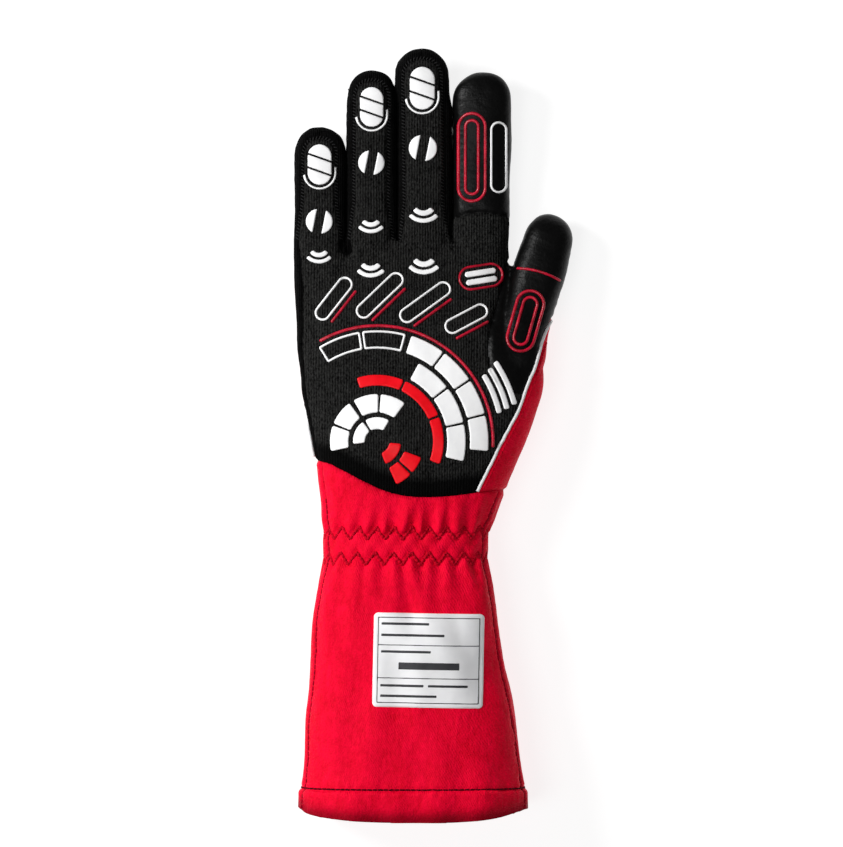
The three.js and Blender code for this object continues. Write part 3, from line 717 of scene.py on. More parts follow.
def wrist_turns(sides=720):
    """Angles round the sleeve from +X towards the palm, and the share of its girth there."""
    up, down = WRIST_THICKNESS * (1 - MIDDLE_SHARE), WRIST_THICKNESS / 2
    section = ring(np.zeros(3), ACROSS, WRIST_WIDTH / 2, up, down, BODY_POWER, -FAR, sides)
    section = np.concatenate([section, section[:1]])
    at = np.concatenate([[0], np.cumsum(np.linalg.norm(np.diff(section, axis=0), axis=1))])
    seen = np.unwrap(np.arctan2(section[:, 2], section[:, 0]))
    return seen - seen[0], at / at[-1]


TURNS, SHARES = wrist_turns()


def round_the_wrist(points):
    """Share of the way round the sleeve, from +X towards the palm side."""
    y = points[:, 1]
    angle = np.arctan2(points[:, 2] - middle_at(y), points[:, 0] - sleeve_x(y))
    return np.interp(angle % (2 * math.pi), TURNS, SHARES)


def zigzag(share, row):
    """The height of a row's thread at a share of the way round."""
    tooth = (share * TEETH) % 1
    return row["y"] + row["swing"] * (1 - 4 * np.abs(tooth - 0.5))


def ridges(around, y, row):
    """Ridges at every tooth of a row, which fade out on its open side."""
    local = np.random.default_rng(row["seed"])
    away = row["open"] * (y - row["y"])
    open_side = np.clip(away / 1.5 + 0.5, 0, 1)
    away = np.maximum(away, 0)
    out = np.zeros(len(around))
    for k in range(TEETH):
        size, fade, drift, width = (local.uniform(*limits) for limits in RIDGE)
        fade *= row["reach"]
        width = width * (1 + np.minimum(away / RIDGE_SPREAD, 1)) / TEETH
        beside_ridge = (around - (k + row["phase"]) / TEETH - drift * away + 0.5) % 1 - 0.5
        out += size * bell(beside_ridge, width) * np.exp(-((away / fade) ** RIDGE_FADE))
    sunk = BETWEEN_RIDGES * np.exp(-((away / row["reach"]) ** RIDGE_FADE))
    return row["depth"] * ((out - sunk) * open_side)


def gathers(around, y):
    """How far the gathered cloth stands out, in millimetres. It swells inside each tooth of
    the zigzag, below its upper corners and above its lower ones."""
    out = sum(ridges(around, y, row) for row in ELASTIC_ROWS)
    upper, lower = (row["y"] for row in ELASTIC_ROWS)
    share = np.clip((y - (upper + lower) / 2) / ((upper - lower) / 2), -1, 1)
    out -= BETWEEN_ROWS * share * (1 - share * share) * np.cos(2 * math.pi * TEETH * around)
    # the gathers are deeper towards the thumb's side, and low at the sleeve's sides
    turn = 2 * math.pi * around
    facing = AT_SIDES + (1 - AT_SIDES) * np.sin(turn) ** 2
    return GATHER_DEPTH * facing * (UNEVEN[0] + UNEVEN[1] * np.cos(turn)) * out


def elastic(around, y):
    out = np.zeros(len(y))
    for row in ELASTIC_ROWS:
        slope = 4 * row["swing"] * TEETH / WRIST_GIRTH
        out -= groove(y - row["y"], **ELASTIC_GROOVE)
        out -= groove((y - zigzag(around, row)) / math.hypot(1, slope), **THREAD_GROOVE)
    return out


def hem(points, normal):
    """The stitched line over the hem, its doubled thickness below it and its rolled edge."""
    y = points[:, 1]
    mouth = np.maximum(side_of(points, MOUTH_LINE), 0)
    roll = groove(mouth, **HEM_ROLL) * normal[:, 2] ** 2
    swell = HEM_SWELL * ramp(HEM_Y - y, 2.5)
    return swell - roll + puckers(points, y - HEM_Y, **HEM_PUCKERS) - groove(y - HEM_Y, **HEM_GROOVE)


def folds(points, normal):
    """Soft dents of worn cloth, mostly on its upper and lower faces."""
    x, y, _ = points.T
    facing = 0.25 + 0.75 * normal[:, 2] ** 2
    palm = facing * ramp(y - 15, 25) * ramp(PALM_LENGTH - y, 20)
    places = (palm, facing * ramp(-y, 30), ramp(y - PALM_LENGTH, 10), 1.0)
    out = np.zeros(len(points))
    for field, depths in DENTS:
        out += sum(place * depth for place, depth in zip(places, depths)) * waves(points, *field)
    fold, dimple = THUMB_FOLD, INDEX_DIMPLE
    out += groove(y - fold["y"], fold["depth"], fold["width"]) * ramp(normal[:, 0], 1) * (x > fold["x"])
    away = np.hypot(x - dimple["x"], (y - dimple["y"]) * dimple["along"])
    return out - groove(away, dimple["depth"], dimple["width"]) * ramp(normal[:, 2], 1)


def grooved(seams):
    """The seam points that get a groove: none at the mouth, and on the fingers only those of
    the front's and the back's seams."""
    seams = seams[seams[:, 1] > -0.93 * CUFF_LENGTH]
    x, y, z = seams.T
    high = z - middle_at(y)
    in_side = (high < front_seam(y) - 1) & (high > back_seam(y) + 1)
    in_slit = np.abs(x - slit_at(2, y)) < 2
    return seams[~((y > PALM_LENGTH) & (in_slit | in_side))]


def nearest(cloud, points):
    """Distance from each point to the nearest of a cloud."""
    tree = KDTree(len(cloud))
    for i, p in enumerate(cloud.tolist()):
        tree.insert(p, i)
    tree.balance()
    return np.array([tree.find(p)[2] for p in points.tolist()])


def cloth_skin():
    """The whole outer surface of the cloth, cut along its seams: points, triangles, their
    labels, the labels' names, and each point's distance from a seam."""
    points, tris = voxel_skin()
    points = widen_fingers(smooth(points, tris, SMOOTHING))
    values = panel_values(points)
    table = np.stack(list(values.values()), 1)
    points, tris, tag, on_cut = split(points, tris, table.argmax(1), table)
    normal = normals_of(points, tris)
    around, y = round_the_wrist(points), points[:, 1]
    shift = gathers(around, y) + elastic(around, y) + hem(points, normal) + folds(points, normal)
    away = nearest(grooved(points[on_cut]), points)
    shift -= groove(away, **SEAM_GROOVE)
    shift += puckers(points, away, **SEAM_PUCKERS)
    points = points + normal * shift[:, None]
    points[:, 2] = np.maximum(points[:, 2], LOWEST_SKIN)
    return points, tris, tag, list(values), away


def shell(points, tris, thickness, normal, open_by=0.04):
    """A panel as a closed wall: its skin and a lining, with the rim drawn back a little from
    its neighbour."""
    on_rim = np.zeros(len(points), bool)
    on_rim[rim_edges(tris).ravel()] = True
    inward = np.zeros_like(points)
    edges = edges_of(tris).T
    for a, b in (edges, edges[::-1]):
        pick = on_rim[a] & ~on_rim[b]
        inward += added(a[pick], points[b[pick]] - points[a[pick]], len(points))
    points = points + open_by * unit(inward)
    lining = points - normal * thickness
    lining[:, 2] = np.maximum(lining[:, 2], LOWEST_LINING)
    return closed(points, lining, tris)


def rgb(red, green, blue):
    """An sRGB colour of 0 to 255 as a linear one."""
    out = []
    for value in (red, green, blue):
        value /= 255
        out.append(value / 12.92 if value <= 0.04045 else ((value + 0.055) / 1.055) ** 2.4)
    return (*out, 1.0)


class Shader:
    """A material with one principled shader and short calls for its other nodes."""

    def __init__(self, name, roughness, specular=0.5, sheen=0.0, sheen_tint=None):
        self.material = bpy.data.materials.new(name)
        self.material.use_nodes = True
        self.tree = self.material.node_tree
        self.inputs = self.tree.nodes["Principled BSDF"].inputs
        self.inputs["Roughness"].default_value = roughness
        self.inputs["Specular IOR Level"].default_value = specular
        self.inputs["Sheen Weight"].default_value = sheen
        self.inputs["Sheen Roughness"].default_value = 0.4
        if sheen_tint:
            self.inputs["Sheen Tint"].default_value = sheen_tint

    def node(self, kind, *values, **settings):
        node = self.tree.nodes.new("ShaderNode" + kind)
        for key, value in settings.items():
            setattr(node, key, value)
        for i, value in enumerate(values):
            self.set(node.inputs[i], value)
        return node

    def set(self, socket, value):
        if isinstance(value, bpy.types.NodeSocket):
            self.tree.links.new(value, socket)
        else:
            socket.default_value = value

    def math(self, operation, *values):
        return self.node("Math", *values, operation=operation).outputs[0]

    def total(self, *parts):
        """The sum of values, each times its share."""
        out = 0.0
        for value, share in parts:
            out = self.math("MULTIPLY_ADD", value, share, out)
        return out

    def place(self):
        return self.node("TexCoord").outputs["Object"]

    def axes(self):
        return self.node("SeparateXYZ", self.place()).outputs

    def noise(self, across, along, up, detail=2.0):
        """A random field with the given size in millimetres along each axis."""
        scale = (1 / (across * MM), 1 / (along * MM), 1 / (up * MM))
        place = self.node("VectorMath", self.place(), scale, operation="MULTIPLY").outputs[0]
        node = self.node("TexNoise", place)
        node.inputs["Scale"].default_value = 1.0
        node.inputs["Detail"].default_value = detail
        return node.outputs[0]

    def sine(self, value, pitch, wobble=None):
        """Waves of 0 to 1 along a value in metres."""
        phase = self.math("MULTIPLY", value, 2 * math.pi / (pitch * MM))
        if wobble is not None:
            phase = self.math("ADD", phase, wobble)
        return self.math("MULTIPLY_ADD", self.math("SINE", phase), 0.5, 0.5)

    def between(self, share, low, high, from_min=0.0, from_max=1.0):
        """A colour from low to high."""
        share = self.node("MapRange", share, from_min, from_max, 0.0, 1.0).outputs[0]
        return self.mixed(share, low, high)

    def mixed(self, share, low, high):
        node = self.node("Mix", data_type="RGBA")
        for i, value in ((0, share), (6, low), (7, high)):
            self.set(node.inputs[i], value)
        return node.outputs[2]

    def color(self, value):
        self.set(self.inputs["Base Color"], value)

    def shaded(self, value, dark):
        """The colour, turned to dark where the mesh's shade is low."""
        shade = self.node("Attribute", attribute_name="shade").outputs["Fac"]
        self.color(self.mixed(shade, dark, value))

    def rough(self, value, low, high):
        out = self.node("MapRange", value, 0.0, 1.0, low, high).outputs[0]
        self.set(self.inputs["Roughness"], out)

    def bump(self, height, depth):
        """Small relief of so many millimetres."""
        node = self.node("Bump")
        node.inputs["Strength"].default_value = 1.0
        node.inputs["Distance"].default_value = depth * MM
        self.set(node.inputs["Height"], height)
        self.set(self.inputs["Normal"], node.outputs[0])


def knit(name, rib=1.25, dark=rgb(2, 2, 2), light=rgb(47, 47, 46)):
    """Ribbed knit: wales along the glove with loops across them."""
    shader = Shader(name, 0.9, specular=0.04)
    across, along, _ = shader.axes()
    ribs = shader.sine(across, rib, shader.total((shader.noise(6, 22, 6), 5.0)))
    loops = shader.sine(along, 0.95, shader.total((ribs, 2.2)))
    fleck = shader.noise(0.75, 1.1, 0.75, 2.0)
    patch = shader.noise(3.6, 5.0, 3.6, 3.0)
    tone = shader.total((fleck, 1.0), (ribs, 0.16), (patch, 0.26))
    shader.bump(shader.total((ribs, 1.0), (loops, 0.35), (fleck, 1.8)), 0.3)
    shader.shaded(shader.between(tone, dark, light, 0.5, 0.97), dark)
    return shader.material


def soft_knit(name):
    """The smooth leather-like cloth of the thumb, with fine creases and a soft gloss."""
    shader = Shader(name, 0.38, specular=0.11)
    fleck = shader.noise(0.8, 1.4, 0.8, 4.0)
    cloud = shader.noise(9, 14, 9)
    creases = shader.noise(3.2, 1.8, 3.2, 3.0)
    shader.bump(shader.total((fleck, 1.0), (creases, 2.0)), 0.12)
    shader.rough(cloud, 0.3, 0.44)
    tone = shader.total((cloud, 0.4), (fleck, 0.6))
    shader.shaded(shader.between(tone, rgb(2, 2, 2), rgb(12, 12, 12), 0.3, 0.75), rgb(2, 2, 2))
    return shader.material


def woven(name):
    """Red cloth: a fine twill with a slight fuzz."""
    shader = Shader(name, 0.5, specular=0.035, sheen=0.06, sheen_tint=rgb(255, 40, 80))
    across, along, up = shader.axes()
    slant = shader.total((across, 1.0), (along, 0.6), (up, 0.8))
    twill = shader.sine(slant, 1.05, shader.total((shader.noise(2.5, 4, 2.5), 9.0)))
    fuzz = shader.noise(0.75, 0.75, 0.75, 4.0)
    slub = shader.noise(1.3, 5.5, 1.3, 3.0)
    mottle = shader.noise(2.6, 3.4, 2.6, 3.0)
    cloud = shader.noise(12, 17, 12, 3.0)
    shader.bump(shader.total((twill, 0.45), (fuzz, 1.8), (slub, 1.2), (mottle, 1.0)), 0.2)
    tone = shader.total((cloud, 0.3), (fuzz, 0.3), (slub, 0.2), (mottle, 0.3))
    shader.shaded(shader.between(tone, rgb(212, 1, 32), rgb(255, 7, 56), 0.4, 0.7), rgb(90, 0, 12))
    return shader.material


def silicone(name, low, high, roughness, specular=0.45):
    """Printed silicone: smooth, with the knit just felt through it."""
    shader = Shader(name, roughness, specular)
    cloud = shader.noise(4, 4, 4)
    grain = shader.noise(0.8, 0.8, 0.8)
    shader.bump(shader.total((cloud, 1.0), (grain, 0.5)), 0.05)
    shader.color(shader.between(cloud, low, high, 0.3, 0.7))
    shader.rough(grain, roughness - 0.06, roughness + 0.08)
    return shader.material


def cord_cloth(name):
    shader = Shader(name, 0.75, specular=0.25)
    across, along, _ = shader.axes()
    shader.bump(shader.sine(shader.total((along, 1.0), (across, 0.7)), 0.7), 0.1)
    fuzz = shader.noise(0.5, 0.5, 0.5)
    shader.color(shader.between(fuzz, rgb(226, 225, 226), rgb(252, 252, 252), 0.3, 0.7))
    return shader.material


def thread(name, low, high):
    shader = Shader(name, 0.8, specular=0.08)
    across, along, _ = shader.axes()
    twist = shader.sine(shader.math("ADD", across, along), 0.3)
    shader.bump(twist, 0.05)
    shader.color(shader.between(twist, low, high))
    return shader.material


def satin(name, low, high):
    shader = Shader(name, 0.5, specular=0.35, sheen=0.05)
    warp, weft, _ = (shader.sine(axis, 0.42) for axis in shader.axes())
    shader.bump(shader.math("ADD", weft, warp), 0.035)
    shader.color(shader.between(shader.noise(9, 12, 9), low, high, 0.3, 0.7))
    return shader.material


KNIT = knit("ribbed_knit")
SIDE_KNIT = knit("side_knit", rib=0.95, dark=rgb(1, 1, 1), light=rgb(14, 14, 14))
SOFT = soft_knit("soft_knit")
CLOTH = woven("red_twill")
WHITE_PRINT = silicone("white_print", rgb(248, 248, 249), rgb(254, 254, 254), 0.45)
RED_PRINT = silicone("red_print", rgb(226, 3, 18), rgb(244, 6, 27), 0.36, specular=0.2)
RED_LINE = silicone("red_line", rgb(150, 4, 30), rgb(204, 10, 50), 0.27)
CORD = cord_cloth("cord_cloth")
LABEL_TAPE = satin("label_tape", rgb(240, 240, 242), rgb(252, 252, 253))
DARK_INK = satin("dark_ink", rgb(40, 40, 44), rgb(64, 64, 68))
DARK_THREAD = thread("dark_thread", rgb(178, 2, 28), rgb(212, 6, 42))
GREY_THREAD = thread("grey_thread", rgb(26, 26, 26), rgb(58, 58, 58))
HEM_THREAD = thread("hem_thread", rgb(52, 0, 10), rgb(86, 2, 18))
SEAM_THREAD = thread("seam_thread", rgb(150, 0, 26), rgb(184, 2, 40))
PANELS = {
    "palm_panel": KNIT, "little_side_strip": SIDE_KNIT, "fourchette_little_ring": SIDE_KNIT,
    "fourchette_ring_middle": SIDE_KNIT, "fourchette_middle_index": SIDE_KNIT,
    "knuckle_panel": KNIT, "thumb_front": SOFT, "thumb_back": SOFT, "back_panel": CLOTH,
    "cuff_front": CLOTH, "cuff_back": CLOTH,
}


# Painted shade in the seams' grooves: its depth and width
SEAM_SHADE = {"depth": 0.5, "width": 0.9}
RED_SEAM_SHARE = 0.6  # how much of that the red cloth has
# The black cloth made darker in a band along the heel
HEEL_BAND = {"wide": 10.5, "soft": 4, "dark": 0.93}
# Painted shade where the hem rolls under at the mouth
HEM_SHADE = {"depth": 0.74, "width": 4.6}


def shades(points, away):
    """The share of light that the cloth's colour keeps, for the black cloth and the red: painted
    shade in the seams and under the rolled hem, and a darker band along the heel."""
    # painted shade along the seams
    at_seam = 1 - groove(away, **SEAM_SHADE)
    band = ramp(HEEL_BAND["wide"] - side_of(points, HEEL_LINE), HEEL_BAND["soft"])
    # painted shade where the hem rolls under
    painted_hem_shade = groove(np.maximum(side_of(points, MOUTH_LINE), 0), **HEM_SHADE)
    red = 1 - RED_SEAM_SHARE + RED_SEAM_SHARE * at_seam
    return at_seam * (1 - HEEL_BAND["dark"] * band), red * (1 - painted_hem_shade)


def make_cloth():
    """The whole cloth as a tree to lay things on, and the panels by name."""
    points, tris, tag, names, away = cloth_skin()
    normal = normals_of(points, tris)
    black_shade, red_shade = shades(points, away)
    tree = BVHTree.FromPolygons(points.tolist(), tris[tag != names.index("beyond")].tolist())
    pieces = {}
    for name, material in PANELS.items():
        part = tris[tag == names.index(name)]
        ribbed = len(part)
        if name == "palm_panel":
            part = np.concatenate([part, tris[tag == names.index("index_cap")]])
        skin, skin_tris, used = submesh(points, part)
        wall = CUFF_WALL if name.startswith("cuff") else WALL
        solid, solid_tris = shell(skin, skin_tris, wall, normal[used])
        slot, shade = ("red_cloth", red_shade) if material is CLOTH else ("black_knit", black_shade)
        piece = put(name + "_cloth", solid, solid_tris, material, slot, np.tile(shade[used], 2))
        if name == "palm_panel":
            piece.data.materials.append(SOFT)
            number = np.arange(len(solid_tris))
            on_cap = (number < 2 * len(part)) & (number % len(part) >= ribbed)
            piece.data.polygons.foreach_set("material_index", on_cap.astype(np.int32))
        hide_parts(name)
        pieces[name] = piece
    return tree, pieces


# Prints, piping and thread are laid on the cloth where rays meet it
def cast(tree, start, way):
    """The point and normal where a ray meets the cloth, or None."""
    hit, normal, _, _ = tree.ray_cast(Vector(start), Vector(way))
    return None if hit is None else (np.array(hit), np.array(normal))


def drop(tree, x, y):
    """The cloth's point and normal under a place, or None."""
    return cast(tree, (x, y, 200.0), (0, 0, -1))


def round_join(a, b, radius):
    """Distance inside both of two edges, with the corner rounded."""
    a = radius - a
    b = radius - b
    outside = np.hypot(np.maximum(a, 0), np.maximum(b, 0)) + np.minimum(np.maximum(a, b), 0)
    return radius - outside


def turned(x, y, centre, turn):
    """Places in a frame at the centre, turned by so many radians."""
    dx, dy = x - centre[0], y - centre[1]
    c, s = math.cos(turn), math.sin(turn)
    return c * dx + s * dy, -s * dx + c * dy


def capsule(x, y, width, length):
    """Distance inside a rounded bar about the origin, long in y or x."""
    radius = min(width, length) / 2
    across = np.maximum(np.abs(x) - (width / 2 - radius), 0)
    along = np.maximum(np.abs(y) - (length / 2 - radius), 0)
    return radius - np.hypot(across, along)


def outline(inside, thickness):
    """The border band of a shape, of the given thickness, or the whole shape."""
    return thickness / 2 - np.abs(inside - thickness / 2) if thickness else inside


# Each of these gives a function that says how far a place lies inside a shape
def bar(width, length, line=None, up=0.0):
    """A rounded bar, or its outline."""
    return lambda u, v: outline(capsule(u, v - up, width, length), line)


def nested(width, length, line, step=0.0, count=1):
    """Outlines of rounded bars inside each other."""
    return lambda u, v: either(*(
        outline(capsule(u, v, width - 2 * step * k, length - 2 * step * k), line)
        for k in range(count)
    ))


def arc(radius, width, start, end, corner, line=None):
    """A stretch of a ring about the origin, or its outline. Angles are degrees."""
    middle = math.radians((start + end) / 2)
    half = math.radians((end - start) / 2)

    def inside(u, v):
        reach = np.hypot(u, v)
        angle = np.arctan2(v, u) - middle
        angle = np.abs((angle + math.pi) % (2 * math.pi) - math.pi)
        whole = round_join(width / 2 - np.abs(reach - radius), (half - angle) * reach, corner)
        return outline(whole, line)
    return inside


def box_round(centre, wide, tall):
    x, y = centre
    return x - wide, x + wide, y - tall, y + tall


def print_solid(tree, inside_at, box, height, edge, pitch):
    """A raised print: the region of the plan where inside_at is over zero, laid on the cloth.
    Its top is rounded over the given distance from its edge."""
    x0, x1, y0, y1 = box
    xs = np.arange(x0 - pitch, x1 + 2 * pitch, pitch)
    ys = np.arange(y0 - pitch, y1 + 2 * pitch, pitch)
    gx, gy = np.meshgrid(xs, ys)
    flat = np.stack([gx.ravel(), gy.ravel(), np.zeros(gx.size)], 1)
    n = len(xs)
    cell = (np.arange(len(ys) - 1)[:, None] * n + np.arange(n - 1)[None, :]).ravel()
    tris = np.concatenate([
        np.stack([cell, cell + 1, cell + n + 1], 1), np.stack([cell, cell + n + 1, cell + n], 1),
    ])
    value = inside_at(flat[:, 0], flat[:, 1])
    flat, tris, used = submesh(flat, tris[(value[tris] > 0).any(1)])
    value = value[used]
    table = np.stack([-value, value], 1)
    flat, tris, tag, _ = split(flat, tris, (value > 0).astype(int), table)
    flat, tris, _ = submesh(flat, tris[tag == 1])
    value = np.maximum(inside_at(flat[:, 0], flat[:, 1]), 0)
    lift = height * np.sqrt(np.maximum(0, 1 - (1 - np.minimum(value / edge, 1)) ** 2))
    hits = [drop(tree, x, y) for x, y, _ in flat.tolist()]
    found = np.array([hit is not None for hit in hits])
    flat, tris, used = submesh(flat, tris[found[tris].all(1)])
    base, normal = (np.array([hits[i][part] for i in used]).reshape(-1, 3) for part in (0, 1))
    # an even lie over the cloth's small bumps
    lie = smooth(np.concatenate([base, normal], 1), tris, 3, 0.5, 0.0)
    rim = np.zeros(len(base), bool)
    rim[rim_edges(tris).ravel()] = True
    base[~rim, 2] = lie[~rim, 2]
    normal = unit(lie[:, 3:])
    top = base + normal * (lift[used] + PRINT_PROUD)[:, None]
    return closed(top, base - normal * PRINT_SINK, tris)


PRINT_PROUD = 0.03  # between the cloth and a print's top at its edge
PRINT_SINK = 0.25
PAD = {"height": 0.4, "edge": 0.28, "pitch": 0.4}
LINE = {"height": 0.5, "edge": 0.55, "pitch": 0.3}
BEAD = {"height": 0.7, "edge": 0.7, "pitch": 0.3}


class Print:
    """Shapes in plan that make one printed piece."""

    def __init__(self, name, node=None, white=True):
        self.name = name
        self.node = node
        self.white = white
        self.shapes = []

    def add(self, shape, centre, reach, style, about=None, turn=0.0):
        """A shape in the frame about a place, which is its centre unless it is given."""
        def inside_at(x, y):
            return shape(*turned(x, y, about or centre, turn))

        self.shapes.append((inside_at, box_round(centre, reach, reach), style))
        return self

    def lay(self, tree):
        solids = [print_solid(tree, at, box, **style) for at, box, style in self.shapes]
        red = RED_LINE if self.shapes[0][2] is BEAD else RED_PRINT
        slot = "white_silicone" if self.white else "red_silicone"
        piece = put(self.name, *joined(solids), WHITE_PRINT if self.white else red, slot)
        if self.node:
            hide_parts(self.node)


CUT = 0.9  # gap between the parts of a print
SWEEP = (-0.13 * PALM_WIDTH, 0.33 * PALM_LENGTH)
GRIP_LINE = 2.0
# Fingertip pads and the pads below them, in finger widths, but for the fingertips' cuts, which
# are a share of the pad's height from its middle
TIP_PAD = {"wide": 0.46, "tall": 0.78, "below": 0.74, "cut": 0.17}
JOINT_PAD = {"wide": 0.52, "tall": 0.48, "below": 1.84, "cut": 0.09}
HOOK = {"width": 0.9, "aside": 1.75}
FAN_WIDTH = 7.4
ACCENT = {"gap": 2.2, "share": 0.78, "width": 1.3}  # share of the length of the bar beside it
CORNER = 0.9
# Direction and distance from the sweep's middle, length, turn
FAN_ROWS = [(107, 0.69, 0.24, -38), (89, 0.675, 0.28, -46), (71, 0.68, 0.28, -54), (54, 0.7, 0.22, -62)]
# Radius, width, first and last direction, the parts that thin gaps cut the arc into, and kind,
# where a hollow one is outlined only
ARC_ROWS = {
    "sweep_outer": (0.47, 0.085, -5, 72, 4, "white"),
    "sweep_left": (0.47, 0.085, 75, 122, 2, "hollow"),
    "sweep_inner": (0.365, 0.085, -13, 62, 3, "white"),
    "sweep_red": (0.282, 0.05, -20, 108, 3, "red"),
    "heel_1": (0.175, 0.085, 54, 120, 2, "white"),
    "heel_2": (0.175, 0.085, 126, 192, 2, "white"),
    "heel_3": (0.084, 0.055, 60, 186, 2, "white"),
    "stripe_1": (0.175, 0.085, -66, -20, 2, "red"),
    "stripe_2": (0.084, 0.055, -70, -6, 1, "red"),
}
# Pairs of arcs under the fingers: finger's number, place along Y from the crotch line, size
CRESCENTS = [(0, -4.5, 0.9), (1, -10.5, 1.0), (1, 9.5, 0.92), (2, -8.5, 1.1), (2, 15.0, 1.05)]
CRESCENT_ARCS = [(8.2, 1.9, 46), (4.9, 2.3, 52)]  # radius, width, half the turn
BORDER = {"radius": 0.534, "width": 1.4, "from": -3, "cut": 58, "to": 120}
ROOT_STREAKS = [(0.578, 13, 32), (0.617, 14, 33), (0.656, 15, 34)]  # radius, from, to
ROOT_WIDTH = 2.5
INDEX_BASE = {"at": (0.35 * PALM_WIDTH, 0.885 * PALM_LENGTH), "turn": 0.16}
BASE_LINE = (21.0, 11.5, 1.1)  # width, height and line
BASE_BAR = (14.5, 2.6)
BASE_LEVELS = (-1.9, 1.9)
THUMB_BAR = {"at": 0.69, "width": 21.0, "line": 1.2, "bow": 0.012}


def on_sweep(radius, degrees):
    """The place at a distance and direction from the middle of the sweep."""
    angle = math.radians(degrees)
    return SWEEP[0] + radius * math.cos(angle), SWEEP[1] + radius * math.sin(angle)


def tip_pad(w):
    def inside(u, v):
        slant = v + 0.35 * u
        level = TIP_PAD["cut"] * TIP_PAD["tall"] * w
        cuts = both(np.abs(slant - level), np.abs(slant + level)) - CUT / 2
        return both(capsule(u, v, TIP_PAD["wide"] * w, TIP_PAD["tall"] * w), cuts)
    return inside


def joint_pad(w):
    def inside(u, v):
        pad = capsule(u, v, JOINT_PAD["wide"] * w, JOINT_PAD["tall"] * w)
        return both(pad, np.abs(u - 0.2 * v) - JOINT_PAD["cut"] * w)
    return inside


def tip_hook(w):
    """A line beside the lower half of a fingertip's pad."""
    def inside(u, v):
        pad = capsule(u, v, TIP_PAD["wide"] * w, TIP_PAD["tall"] * w)
        line = HOOK["width"] / 2 - np.abs(pad + HOOK["aside"])
        return both(line, -0.12 * w - v + 0.25 * u)
    return inside


def finger_prints():
    out = []
    for finger in RIBBED_FINGERS:
        w = finger["width"]
        for part, shape, size, reach in (
            ("tip", tip_pad(w), TIP_PAD, TIP_PAD["tall"] * w / 2 + 1),
            ("joint", joint_pad(w), JOINT_PAD, 0.3 * w),
        ):
            name = f"{finger['name']}_{part}"
            place = below_tip(finger, size["below"])
            out.append(Print(name + "_print", "grip_" + name).add(shape, place, reach, PAD))
    return out


def fan_bars():
    """Each bar's centre, turn and length."""
    for around, radius, length, turn in FAN_ROWS:
        centre = on_sweep(radius * PALM_WIDTH, around)
        yield centre, math.radians(turn), length * PALM_WIDTH


def fan_prints():
    out = []
    for i, (centre, turn, length) in enumerate(fan_bars(), 1):
        shape = bar(FAN_WIDTH, length, GRIP_LINE / 2)
        piece = Print(f"fan_{i}_print", f"grip_fan_{i}")
        out.append(piece.add(shape, centre, length / 2 + 2, LINE, turn=turn))
    return out


def arc_prints():
    out = []
    for name, (radius, width, first, last, parts, kind) in ARC_ROWS.items():
        piece = Print(name + "_print", "grip_" + name, white=kind != "red")
        line, style = (GRIP_LINE / 2, LINE) if kind == "hollow" else (None, PAD)
        radius *= PALM_WIDTH
        width *= PALM_WIDTH
        gap = math.degrees(CUT / radius)
        each = (last - first - gap * (parts - 1)) / parts
        reach = radius * math.sin(math.radians(each / 2)) + width / 2 + 1
        for part in range(parts):
            start = first + part * (each + gap)
            shape = arc(radius, width, start, start + each, CORNER, line)
            piece.add(shape, on_sweep(radius, start + each / 2), reach, style, about=SWEEP)
        out.append(piece)
    return out


def frame_prints():
    """The outlined patches of the index finger and the thumb."""
    index = FINGERS[3]
    w, long = index["width"], index["length"]
    x, y = index["x"], PALM_LENGTH + long / 2
    frame_shape = nested(0.52 * w, 0.53 * long, 1.35, 3.2, 2)
    patch_shape = nested(0.3 * w, 0.42 * long, 1.0)
    thumb_shape = nested(0.56 * THUMB_WIDTH, 0.34 * THUMB_LENGTH, 1.35, 3.0, 2)
    thumb = Print("thumb_frame_print", "grip_thumb_frame", white=False)
    return [
        Print("index_frame_print", "grip_index_frame", white=False).add(
            frame_shape, (x - 0.15 * w, y), 0.28 * long, BEAD),
        Print("index_patch_print", "grip_index_patch").add(
            patch_shape, (x + 0.32 * w, y), 0.24 * long, LINE),
        thumb.add(thumb_shape, thumb_point(0.42)[:2], 0.2 * THUMB_LENGTH, BEAD, turn=-THUMB_TILT),
    ]


def border_part(after):
    """The sweep's border after its cut, or before it."""
    whole = arc(BORDER["radius"] * PALM_WIDTH, BORDER["width"], BORDER["from"], BORDER["to"], 0.65)

    def inside(u, v):
        past = np.degrees(np.arctan2(v, u)) - BORDER["cut"]
        return both(whole(u, v), 2 * (past if after else -past))
    return inside


def thumb_bar(u, v):
    return capsule(u, v + THUMB_BAR["bow"] * u * u, THUMB_BAR["width"], THUMB_BAR["line"])


